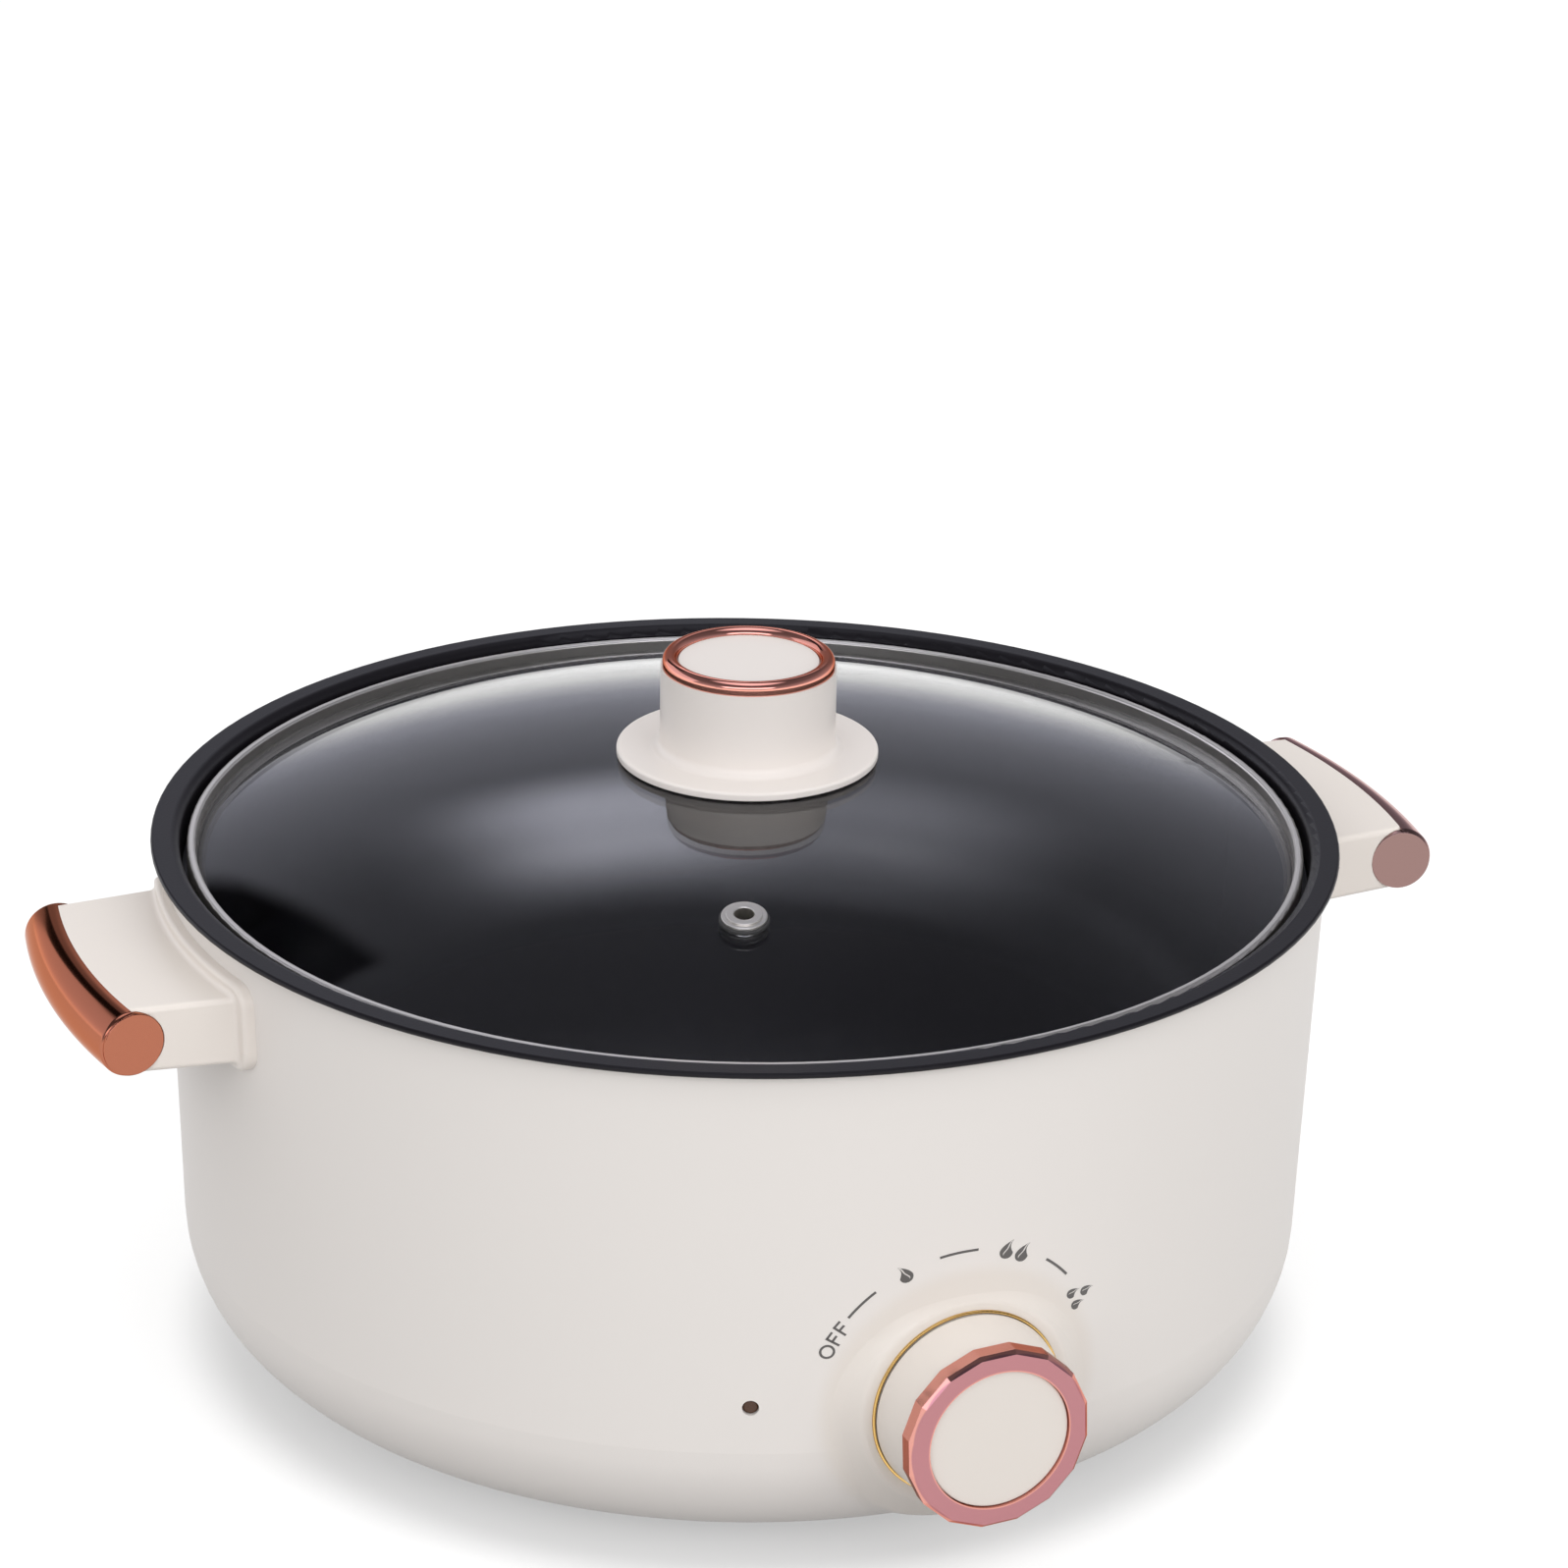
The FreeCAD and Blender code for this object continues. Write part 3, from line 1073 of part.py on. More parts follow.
def run(points):
    """Path through the points, straight between them, with every corner rounded to the wire's bend."""
    edges = []
    start = points[0]
    for before, corner, after in zip(points, points[1:], points[2:]):
        back = (before - corner).normalize()
        ahead = (after - corner).normalize()
        half = back.getAngle(ahead) / 2
        inset = WIRE_BEND / math.tan(half)
        middle = (back + ahead).normalize()
        entry = corner + back * inset
        leave = corner + ahead * inset
        edges.append(Part.LineSegment(start, entry).toShape())
        crown = corner + middle * (WIRE_BEND / math.sin(half) - WIRE_BEND)
        edges.append(Part.Arc(entry, crown, leave).toShape())
        start = leave
    edges.append(Part.LineSegment(start, points[-1]).toShape())
    return Part.Wire(edges)


def insulated(points, radius):
    """Insulated wire along a run of points."""
    ring = Part.Wire(Part.makeCircle(radius, points[0], points[1] - points[0]))
    return run(points).makePipeShell([ring], True, False)


def stub(terminal, shift=Vector(0, 0, 0)):
    """A wire's first two points: on the boot's end, moved sideways by shift, and straight out from it."""
    tip, way, grip = terminal
    first = tip + way * (BOOT_END / 2) + shift
    return [first, first + way * WIRE_STUB]


def wire(start, end, route):
    """One wire with a boot on the terminal at each end, by way of the route's points."""
    points = stub(start) + route + stub(end)[::-1]
    return insulated(points, WIRE_RADIUS).fuse([boot(start), boot(end)])


def lamp_wire(start, shared, shift, route):
    """A lamp's thin wire, with its own boot and with its far end in a boot that another wire shares."""
    points = stub(start) + route + stub(shared, shift)[::-1]
    points[-1] = points[-1] + shared[1] * (BOOT_END / 2)
    return insulated(points, LAMP_WIRE_RADIUS).fuse(boot(start))


def live_wires():
    """Inlet to switch, switch to thermostat, thermostat to fuse, fuse to heater, and switch to lamp."""
    side = PILLAR_RADIUS + WIRE_PASS
    front = PILLAR_RING_RADIUS
    lane = TUBE_RING_RADIUS / 2
    turn = FUSE_LENGTH + WIRE_TURN
    behind = WIRE_PASS - FUSE_OFFSET
    supply = wire(inlet_terminal(INLET_PIN_SPACING / 2, 0), switch_terminal(-1), [
        Vector(-lane, front + WIRE_PASS, LOW_WIRE), Vector(-lane - WIRE_STEP, 0, LOW_WIRE),
        Vector(-side - WIRE_BEND, -front - WIRE_PASS, LOW_WIRE)])
    switched = wire(switch_terminal(1), thermostat_terminal(-1), [
        Vector(side + WIRE_STEP, -front - WIRE_BEND, HIGH_WIRE),
        Vector(-TAB_SPACING / 2, -FUSE_OFFSET - WIRE_PASS, HIGH_WIRE)])
    guarded = wire(thermostat_terminal(1), fuse_terminal(1), [Vector(turn, behind, HIGH_WIRE + WIRE_STEP)])
    heating = wire(fuse_terminal(-1), heater_terminal(True), [
        Vector(-turn, behind, HIGH_WIRE + WIRE_STEP), Vector(-lane, lane, HIGH_WIRE - WIRE_STEP / 2)])
    lamp = lamp_wire(lamp_terminal(1), switch_terminal(1), Vector(0, 0, WIRE_SHARE), [
        Vector(-side, -front - side, DIAL_HEIGHT + WIRE_PASS)])
    return Part.makeCompound([supply, switched, guarded, heating, lamp])


def neutral_wires():
    """Inlet to heater, and heater to lamp."""
    lane = TUBE_RING_RADIUS / 2
    outer_lane = TUBE_RING_RADIUS - WIRE_PASS
    pin = INLET_PIN_SPACING / 2
    supply = wire(inlet_terminal(-pin, 0), heater_terminal(False), [
        Vector(pin + WIRE_STEP, PILLAR_RING_RADIUS, MIDDLE_WIRE)])
    lamp = lamp_wire(lamp_terminal(-1), heater_terminal(False), Vector(0, -WIRE_SHARE, 0), [
        Vector(-outer_lane, -PILLAR_RING_RADIUS, MIDDLE_WIRE), Vector(-outer_lane, lane, MIDDLE_WIRE),
        Vector(-lane, lane + WIRE_PASS, MIDDLE_WIRE - WIRE_STEP / 2)])
    return Part.makeCompound([supply, lamp])


def earth_wire():
    """Inlet to a pillar, with a ring tag on the cover's boss round the pillar."""
    seat = COVER_TOP + PILLAR_BOSS
    angle = math.radians(360 / PILLAR_COUNT - 90)
    pillar = Vector(PILLAR_RING_RADIUS * math.cos(angle), PILLAR_RING_RADIUS * math.sin(angle), seat)
    tag = rod(EARTH_TAG_RADIUS, 0, EARTH_TAG).cut(rod(PILLAR_RADIUS + SCREW_GAP, -1, EARTH_TAG + 1))
    tag.translate(pillar)
    start = inlet_terminal(0, -INLET_EARTH_DROP)
    turn = Vector(TUBE_RING_RADIUS / 2 - WIRE_PASS, PILLAR_RING_RADIUS, seat + WIRE_RADIUS)
    way = (turn - pillar - Vector(0, 0, WIRE_RADIUS)).normalize()
    end = pillar + Vector(0, 0, WIRE_RADIUS) + way * (PILLAR_RADIUS + WIRE_RADIUS)
    return insulated(stub(start) + [turn, end], WIRE_RADIUS).fuse([boot(start), tag])


# ---- Lid

def ball(radius):
    """A ball about the centre of the glass dome."""
    return Part.makeSphere(radius, Vector(0, 0, DOME_CENTRE))


def dome_height(radius):
    """Height of the glass's upper face at a distance from the axis."""
    return DOME_CENTRE + math.sqrt(DOME_RADIUS ** 2 - radius ** 2)


def on_dome(shape):
    """A shape made about +Z on the glass's surface at height 0, moved to the steam vent."""
    lean = math.degrees(math.asin(VENT_RADIUS / DOME_RADIUS))
    turn = Rotation(Vector(0, 0, 1), VENT_AZIMUTH) * Rotation(Vector(1, 0, 0), lean)
    azimuth = math.radians(VENT_AZIMUTH)
    spot = Vector(VENT_RADIUS * math.sin(azimuth), -VENT_RADIUS * math.cos(azimuth), dome_height(VENT_RADIUS))
    placed = shape.copy()
    placed.Placement = Placement(spot, turn).multiply(placed.Placement)
    return placed


def glass_form():
    """The domed glass disc without its holes."""
    shell = ball(DOME_RADIUS).cut(ball(DOME_RADIUS - GLASS_THICKNESS))
    return shell.common(rod(GLASS_RADIUS, LID_BOTTOM - 10, DOME_APEX + 10))


def lid_glass():
    """Tempered glass dome with a hole for the knob's screw and one for the steam vent."""
    bore = EYELET_WALL + VENT_BORE + GROMMET_WALL + SCREW_GAP
    holes = [rod(GLASS_HOLE_RADIUS, DOME_APEX - 20, DOME_APEX + 20),
             on_dome(rod(bore, -GLASS_THICKNESS * 3, GLASS_THICKNESS * 2))]
    return glass_form().cut(holes)


def lid_rim():
    """Steel band folded round the glass's edge."""
    inner = LID_RADIUS - LID_RIM_TOP_WIDTH
    foot = LID_RADIUS - LID_RIM_FOOT_WIDTH
    glass_top = dome_height(inner)
    band = turned([
        (foot, LID_BOTTOM), (LID_RADIUS, LID_BOTTOM, LID_RIM_ROUND / 2),
        (LID_RADIUS, LID_RIM_TOP, LID_RIM_ROUND), (inner, LID_RIM_TOP, LID_RIM_ROUND),
        (inner, glass_top - GLASS_THICKNESS / 2), (foot, LID_BOTTOM + LID_RIM_SHEET * 2)])
    return band.cut(glass_form())


def vent_grommet():
    """Rubber grommet in the glass's vent hole."""
    inner = VENT_BORE + EYELET_WALL
    outer = inner + GROMMET_WALL
    low = -GLASS_THICKNESS - SCREW_GAP * 2
    thick = GROMMET_FLANGE_THICKNESS
    return on_dome(turned([
        (inner, low - thick), (GROMMET_FLANGE, low - thick, 0.3), (GROMMET_FLANGE, low), (outer, low),
        (outer, 0), (GROMMET_FLANGE, 0), (GROMMET_FLANGE, thick, 0.4), (inner, thick)]))


def vent_eyelet():
    """Steel eyelet through the grommet, stepped on top and flared below."""
    low = -GLASS_THICKNESS - SCREW_GAP * 2 - GROMMET_FLANGE_THICKNESS
    high = GROMMET_FLANGE_THICKNESS
    sheet = EYELET_FLANGE_THICKNESS
    tube = VENT_BORE + EYELET_WALL
    step = (tube + EYELET_FLANGE) / 2
    return on_dome(turned([
        (VENT_BORE, low - sheet), (EYELET_FLARE, low - sheet, 0.3), (EYELET_FLARE, low), (tube, low),
        (tube, high), (EYELET_FLANGE, high), (EYELET_FLANGE, high + sheet, 0.3),
        (step, high + sheet), (step, high + sheet * 1.6, 0.2), (VENT_BORE, high + sheet * 1.6, 0.3)]))


def lid_knob_skirt():
    """Dished skirt under the knob, shaped to the glass below, with a neck that curves up to the knob."""
    edge = dome_height(SKIRT_RADIUS)
    bore = LID_SCREW_RADIUS + SCREW_HOLE_GAP
    below = edge - SKIRT_EDGE
    seat = SKIRT_RADIUS - SKIRT_UNDERCUT
    skirt = turned([
        (bore, below), (seat, below), (seat, edge + SKIRT_CLEARANCE),
        (SKIRT_RADIUS, edge + SKIRT_CLEARANCE, SKIRT_CLEARANCE),
        (SKIRT_RADIUS, edge + SKIRT_EDGE, SKIRT_LIP_ROUND),
        (SKIRT_RADIUS - SKIRT_LIP, edge + SKIRT_EDGE, SKIRT_LIP_ROUND), (KNOB_RADIUS, SKIRT_TOP, SKIRT_NECK),
        (KNOB_RADIUS, KNOB_FOOT), (bore, KNOB_FOOT)])
    return skirt.cut(ball(DOME_RADIUS))


def lid_knob():
    """Knob body: a cup with a hub for the screw."""
    inner = KNOB_RADIUS - KNOB_WALL
    floor = KNOB_FOOT + KNOB_FLOOR
    cup = turned([(0, KNOB_FOOT), (KNOB_RADIUS, KNOB_FOOT), (KNOB_RADIUS, KNOB_TOP), (inner, KNOB_TOP),
                  (inner, floor, KNOB_ROOT_ROUND), (0, floor)])
    hub = rod(LID_HUB_RADIUS, KNOB_FOOT, KNOB_FOOT + LID_HUB_HEIGHT)
    bore = rod(LID_SCREW_RADIUS + SCREW_GAP, KNOB_FOOT - 1, KNOB_FOOT + LID_SCREW_GRIP + SCREW_GAP)
    return cup.fuse(hub).cut(bore)


def lid_knob_ring():
    """Plated bead on the knob's rim, with a skirt inside the knob and a lip for the cap."""
    ring = BEAD_OUTER_RADIUS - BEAD_RADIUS
    inner = ring - BEAD_RADIUS
    top = KNOB_TOP + 2 * BEAD_RADIUS - BEAD_LIP_THICKNESS
    wall = KNOB_RADIUS - KNOB_WALL - SCREW_GAP
    bead = BEAD_RADIUS * 0.99
    return turned([
        (BEAD_OUTER_RADIUS, KNOB_TOP), (BEAD_OUTER_RADIUS, top, bead), (inner, top, bead),
        (inner, KNOB_TOP + BEAD_LIP_THICKNESS), (inner - BEAD_LIP, KNOB_TOP + BEAD_LIP_THICKNESS),
        (inner - BEAD_LIP, KNOB_TOP - BEAD_SKIRT_DEPTH), (wall, KNOB_TOP - BEAD_SKIRT_DEPTH),
        (wall, KNOB_TOP)])


def lid_knob_cap():
    """Cream disc that closes the knob inside the bead."""
    radius = BEAD_OUTER_RADIUS - 2 * BEAD_RADIUS - SCREW_GAP
    bottom = KNOB_TOP + BEAD_LIP_THICKNESS
    top = bottom + LID_CAP_THICKNESS
    return turned([(0, bottom), (radius, bottom), (radius, top, 0.3), (0, top)])


def lid_knob_washer():
    """Washer under the glass that spreads the screw's load."""
    top = DOME_APEX - GLASS_THICKNESS
    sag = DOME_RADIUS - math.sqrt(DOME_RADIUS ** 2 - LID_WASHER_RADIUS ** 2)
    washer = turned([
        (LID_SCREW_RADIUS + SCREW_HOLE_GAP, top - sag - LID_WASHER_THICKNESS),
        (LID_WASHER_RADIUS, top - sag - LID_WASHER_THICKNESS, 0.4), (LID_WASHER_RADIUS, top),
        (LID_SCREW_RADIUS + SCREW_HOLE_GAP, top)])
    return washer.common(ball(DOME_RADIUS - GLASS_THICKNESS - SCREW_GAP / 5))


def lid_knob_screw():
    """Pan-head screw up through washer, glass and skirt into the knob's hub."""
    sag = DOME_RADIUS - math.sqrt(DOME_RADIUS ** 2 - LID_WASHER_RADIUS ** 2)
    seat = DOME_APEX - GLASS_THICKNESS - sag - LID_WASHER_THICKNESS
    tip = KNOB_FOOT + LID_SCREW_GRIP
    return turned([
        (0, seat - LID_SCREW_HEAD), (LID_SCREW_HEAD_RADIUS, seat - LID_SCREW_HEAD, 1.2),
        (LID_SCREW_HEAD_RADIUS, seat), (LID_SCREW_RADIUS, seat), (LID_SCREW_RADIUS, tip), (0, tip)])


# ---- Build: one STEP file for each sub-part

handle = right_handle()
trim = right_handle_trim()
nodes = {
    "outer_shell": outer_shell(),
    "inner_pot": inner_pot(),
    "heater_plate": heater_plate(),
    "heating_tube": heating_tube(),
    "thermostat": thermostat(),
    "thermal_fuse": thermal_fuse(),
    "fuse_clip": fuse_clip(),
    "pot_pillars": pot_pillars(),
    "base_cover": base_cover(),
    "base_screws": base_screws(),
    "rubber_feet": rubber_feet(),
    "right_handle": handle,
    "left_handle": mirrored(handle),
    "right_handle_trim": trim,
    "left_handle_trim": mirrored(trim),
    "handle_screws": handle_screws(),
    "knob_base_ring": knob_base_ring(),
    "rotary_switch": rotary_switch(),
    "switch_bracket": switch_bracket(),
    "switch_screws": switch_screws(),
    "indicator_lens": indicator_lens(),
    "indicator_lamp": indicator_lamp(),
    "power_inlet": power_inlet(),
    "inlet_pins": inlet_pins(),
    "inlet_screws": inlet_screws(),
    "live_wires": live_wires(),
    "neutral_wires": neutral_wires(),
    "earth_wire": earth_wire(),
    "switch_shaft": switch_shaft(),
    "knob_body": knob_body(),
    "knob_ring": knob_ring(),
    "knob_cap": knob_cap(),
    "lid_glass": lid_glass(),
    "lid_rim": lid_rim(),
    "vent_grommet": vent_grommet(),
    "vent_eyelet": vent_eyelet(),
    "lid_knob_skirt": lid_knob_skirt(),
    "lid_knob": lid_knob(),
    "lid_knob_ring": lid_knob_ring(),
    "lid_knob_cap": lid_knob_cap(),
    "lid_knob_washer": lid_knob_washer(),
    "lid_knob_screw": lid_knob_screw(),
}

os.makedirs("parts", exist_ok=True)
for name, shape in nodes.items():
    shape.exportStep("parts/" + name + ".step")
    print(name, "solids", len(shape.Solids), "valid", shape.isValid(), "volume", round(shape.Volume))
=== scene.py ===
import math

import bpy
import numpy as np
from mathutils import Matrix, Vector


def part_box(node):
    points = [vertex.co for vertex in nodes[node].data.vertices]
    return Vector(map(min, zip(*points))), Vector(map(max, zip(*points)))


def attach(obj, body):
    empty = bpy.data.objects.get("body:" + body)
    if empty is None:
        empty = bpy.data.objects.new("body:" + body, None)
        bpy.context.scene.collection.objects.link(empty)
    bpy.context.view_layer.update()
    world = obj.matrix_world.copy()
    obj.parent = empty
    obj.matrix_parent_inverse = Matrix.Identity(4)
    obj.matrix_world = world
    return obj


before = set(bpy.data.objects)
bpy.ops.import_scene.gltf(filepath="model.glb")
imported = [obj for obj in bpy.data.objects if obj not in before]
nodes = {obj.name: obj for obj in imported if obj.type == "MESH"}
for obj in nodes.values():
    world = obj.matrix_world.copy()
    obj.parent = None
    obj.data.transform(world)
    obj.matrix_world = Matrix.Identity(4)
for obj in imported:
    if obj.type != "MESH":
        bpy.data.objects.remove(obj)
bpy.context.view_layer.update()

# ---------------------------------------------------------------------------------------------------------
# Drum.  The outer shell is one injection moulding in warm cream ABS, with the dial's boss on its front and
# the inlet's pad on its back.  The tool was spark-eroded to a fine satin grain.  The boss is painted a
# little deeper and warmer in tone, as painted shade.

SHELL_CREAM = (0.815, 0.775, 0.745), (0.805, 0.765, 0.732)
# The boss's deeper, warmer tone is painted shade, not a different cream.
BOSS_PAINTED_SHADE = (0.775, 0.722, 0.672)
BOSS_SHADE_EDGE = 0.0345, 0.0400      # the radii between which the boss's painted shade fades out
MOULDED_GRAIN = 2600.0          # grains to the metre, roughly, as every grain= below
DRIFT_SCALE = 9.0
BUMP_DISTANCE = 0.0001

dial_low, dial_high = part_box("knob_ring")
DIAL_X = (dial_low[0] + dial_high[0]) / 2
DIAL_Z = (dial_low[2] + dial_high[2]) / 2


def new_group(name, inputs, outputs):
    """An empty shader node group with named sockets, given as (name, kind, value) and (name, kind)."""
    group = bpy.data.node_groups.new(name, "ShaderNodeTree")
    for label, kind, value in inputs:
        socket = group.interface.new_socket(label, in_out="INPUT", socket_type="NodeSocket" + kind)
        socket.default_value = value
    for label, kind in outputs:
        group.interface.new_socket(label, in_out="OUTPUT", socket_type="NodeSocket" + kind)
    return group, group.nodes.new("NodeGroupInput"), group.nodes.new("NodeGroupOutput")


def put(tree, value, socket):
    """Sets a socket to a number or an opaque colour, or links it to another socket."""
    if isinstance(value, tuple):
        socket.default_value = (*value, 1.0)
    elif isinstance(value, (int, float)):
        socket.default_value = value
    else:
        tree.links.new(value, socket)


def object_place(tree):
    """Object coordinates, which are the part's own frame in metres."""
    return tree.nodes.new("ShaderNodeTexCoord").outputs["Object"]


def add_noise(tree, scale, detail=3.0, roughness=0.5):
    """A noise texture on Object coordinates, whose scale is a number or a socket."""
    noise = tree.nodes.new("ShaderNodeTexNoise")
    tree.links.new(object_place(tree), noise.inputs["Vector"])
    put(tree, scale, noise.inputs["Scale"])
    noise.inputs["Detail"].default_value = detail
    noise.inputs["Roughness"].default_value = roughness
    return noise.outputs["Fac"]


def add_math(tree, operation, first, second=0.0, third=0.0):
    """A Math node on numbers or sockets."""
    node = tree.nodes.new("ShaderNodeMath")
    node.operation = operation
    for value, socket in zip((first, second, third), node.inputs):
        put(tree, value, socket)
    return node.outputs[0]


def add_vector_math(tree, operation, vector, fixed=(0.0, 0.0, 0.0)):
    """A Vector Math node on a vector socket and a fixed vector; a length or a dot product is a number."""
    node = tree.nodes.new("ShaderNodeVectorMath")
    node.operation = operation
    tree.links.new(vector, node.inputs[0])
    node.inputs[1].default_value = fixed
    return node.outputs["Value" if operation in ("LENGTH", "DOT_PRODUCT") else "Vector"]


def add_range(tree, value, low, high, start=0.0, end=1.0, smooth=False):
    """Maps start..end to low..high and holds it there; each bound is a number or a socket."""
    spread = tree.nodes.new("ShaderNodeMapRange")
    if smooth:
        spread.interpolation_type = "SMOOTHSTEP"
    tree.links.new(value, spread.inputs["Value"])
    for label, bound in (("To Min", low), ("To Max", high), ("From Min", start), ("From Max", end)):
        put(tree, bound, spread.inputs[label])
    return spread.outputs["Result"]


def mix_tones(tree, mask, first, second):
    """The first tone where the mask is 0 and the second where it is 1; each is a colour or a socket."""
    mix = tree.nodes.new("ShaderNodeMix")
    mix.data_type = "RGBA"
    tree.links.new(mask, mix.inputs["Factor"])
    put(tree, first, mix.inputs["A"])
    put(tree, second, mix.inputs["B"])
    return mix.outputs["Result"]


def make_moulded_grain():
    """Fine grain as a normal, broad drift as a mask, and roughness that drifts with it."""
    group, given, result = new_group(
        "moulded_grain",
        [("Grain", "Float", MOULDED_GRAIN), ("Depth", "Float", 0.1), ("Roughness", "Float", 0.4),
         ("Roughness Drift", "Float", 0.05)],
        [("Drift", "Float"), ("Roughness", "Float"), ("Normal", "Vector")])
    fine = add_noise(group, given.outputs["Grain"], detail=2.0, roughness=0.6)
    broad = add_noise(group, DRIFT_SCALE)
    low = add_math(group, "SUBTRACT", given.outputs["Roughness"], given.outputs["Roughness Drift"])
    high = add_math(group, "ADD", given.outputs["Roughness"], given.outputs["Roughness Drift"])
    bump = group.nodes.new("ShaderNodeBump")
    bump.inputs["Distance"].default_value = BUMP_DISTANCE
    group.links.new(given.outputs["Depth"], bump.inputs["Strength"])
    group.links.new(fine, bump.inputs["Height"])
    group.links.new(broad, result.inputs["Drift"])
    group.links.new(add_range(group, broad, low, high), result.inputs["Roughness"])
    group.links.new(bump.outputs["Normal"], result.inputs["Normal"])
    return group


moulded_grain = make_moulded_grain()


def finish(name, tones, roughness, grain=MOULDED_GRAIN, depth=0.1, drift=0.03, edge=None, **sockets):
    """A Principled material: its colour drifts between two tones, with a fine grain in its normal.

    The roughness drifts by the given amount to either side.  edge is (mask function, tone): the tone covers
    the stretch where the mask is 1; here it paints shade on the dial's boss and light on the dial ring's
    sides.  Other sockets are set by name, with an underscore for each space.
    """
    material = bpy.data.materials.new(name)
    material.use_nodes = True
    tree = material.node_tree
    shader = tree.nodes["Principled BSDF"]
    skin = tree.nodes.new("ShaderNodeGroup")
    skin.node_tree = moulded_grain
    settings = {"Grain": grain, "Depth": depth, "Roughness": roughness, "Roughness Drift": drift}
    for label, value in settings.items():
        skin.inputs[label].default_value = value
    colour = mix_tones(tree, skin.outputs["Drift"], *tones)
    if edge:
        mask, tone = edge
        colour = mix_tones(tree, mask(tree), colour, tone)
    tree.links.new(colour, shader.inputs["Base Color"])
    tree.links.new(skin.outputs["Roughness"], shader.inputs["Roughness"])
    tree.links.new(skin.outputs["Normal"], shader.inputs["Normal"])
    for label, value in sockets.items():
        shader.inputs[label.replace("_", " ")].default_value = value
    return material


def dress(material, *names):
    """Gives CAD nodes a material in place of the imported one."""
    for name in names:
        slots = nodes[name].data.materials
        slots.clear()
        slots.append(material)


def from_dial(tree):
    """The distance in metres from the dial's axis, which runs along Y."""
    centred = add_vector_math(tree, "SUBTRACT", object_place(tree), (DIAL_X, 0.0, DIAL_Z))
    flat = add_vector_math(tree, "MULTIPLY", centred, (1.0, 0.0, 1.0))
    return add_vector_math(tree, "LENGTH", flat)


def boss_painted_shade_mask(tree):
    """1 on the dial's boss, fading to 0 across its foot, and 0 on the back of the drum: where the boss's
    painted shade lies.
    """
    near = add_range(tree, from_dial(tree), 1.0, 0.0, *BOSS_SHADE_EDGE, smooth=True)
    backward = add_vector_math(tree, "DOT_PRODUCT", object_place(tree), (0.0, 1.0, 0.0))
    return add_math(tree, "MULTIPLY", near, add_math(tree, "LESS_THAN", backward, 0.0))


# The drum's cream, with painted shade on the dial's boss.
cream_shell = finish("cream_shell", SHELL_CREAM, roughness=0.45, depth=0.12, edge=(boss_painted_shade_mask, BOSS_PAINTED_SHADE),
                     IOR=1.46)
dress(cream_shell, "outer_shell")

# ---------------------------------------------------------------------------------------------------------
# Dial marks.  Pad-printed on the drum round the dial in warm grey ink, a few hundredths of a millimetre
# thick: OFF, then one, two and three flames with a dash between each, on a circle about the dial's axis.

INK_GREY = (0.095, 0.088, 0.084), (0.125, 0.118, 0.114)
INK_LIFT = 0.00003
INK_FILM = 0.00004
PRINT_PLANE = dial_low[1] - 0.014     # in front of the whole object

STROKE_HALF = 0.00030
DASH_HALF = 0.00034
LINE_STEPS = 9
CURVE_STEPS = 48
DASH_STEPS = 17

# The letters' other sizes are shares of LETTER_HALF, which is half their height.
LETTER_HALF = 0.0020
O_WIDTH = 0.84
F_STEM = -0.5
F_LONG_BAR = 0.62
F_SHORT_BAR = 0.465
F_SHORT_BAR_HEIGHT = 0.06

# A flame's sizes are shares of half its height, and its heights run from -1 at the foot to 1 at the tip.
FLAME_ROWS = 29
FLAME_COLUMNS = 5
FLAME_BELLY = -0.3
FLAME_WIDTH = 0.68
FLAME_TIP = 0.02
FLAME_TAPER = 1.15
FLAME_LEAN = 0.42
FLAME_BEND = 1.6
FLAME_SWAY = 0.16
CURL_SWING = 0.4
CURL_RATE = 3.2
CURL_SHIFT = 0.1
GAP_WIDTH = 0.07
GAP_FOOT = -0.75
GAP_RISE = 0.3
LEAST_WIDTH = 0.01

# Places about the dial: degrees counter-clockwise from +X as seen from the front, and metres from its axis.
MARK_RADIUS = 0.0424
OFF_PLACES = ((153.2, 0.0406), (147.6, 0.0408), (142.9, 0.0411))
DASH_PLACES = (
    ((138.6, 0.0418), (125.7, 0.0423)),
    ((101.4, 0.0428), (87.5, 0.0427)),
    ((59.0, 0.0417), (46.9, 0.0408)))
ONE_FLAME = ((114.2, MARK_RADIUS),)
TWO_FLAMES = ((76.5, MARK_RADIUS), (70.0, 0.0420))
THREE_FLAMES = ((38.5, 0.0385), (34.6, 0.0417), (32.7, 0.0377))
ONE_FLAME_HALF = 0.0026
TWO_FLAMES_HALF = 0.0027
THREE_FLAMES_HALF = 0.0019


def ribbon(path, half):
    """A strip with three columns, at -half, 0 and +half along the normal of each path point: (n, 3, 2)."""
    along = np.gradient(path, axis=0)
    along = along / np.linalg.norm(along, axis=1, keepdims=True)
    across = np.stack([-along[:, 1], along[:, 0]], axis=1)
    sides = np.array([-1.0, 0.0, 1.0])
    return path[:, None, :] + half * sides[None, :, None] * across[:, None, :]


def letter_o():
    """A stroke along an ellipse about the origin, whose outer edge reaches the letter's half height."""
    turn = np.linspace(0.0, 2 * np.pi, CURVE_STEPS)
    across = LETTER_HALF * O_WIDTH * np.cos(turn)
    up = (LETTER_HALF - STROKE_HALF) * np.sin(turn)
    return [ribbon(np.stack([across, up], axis=1), STROKE_HALF)]


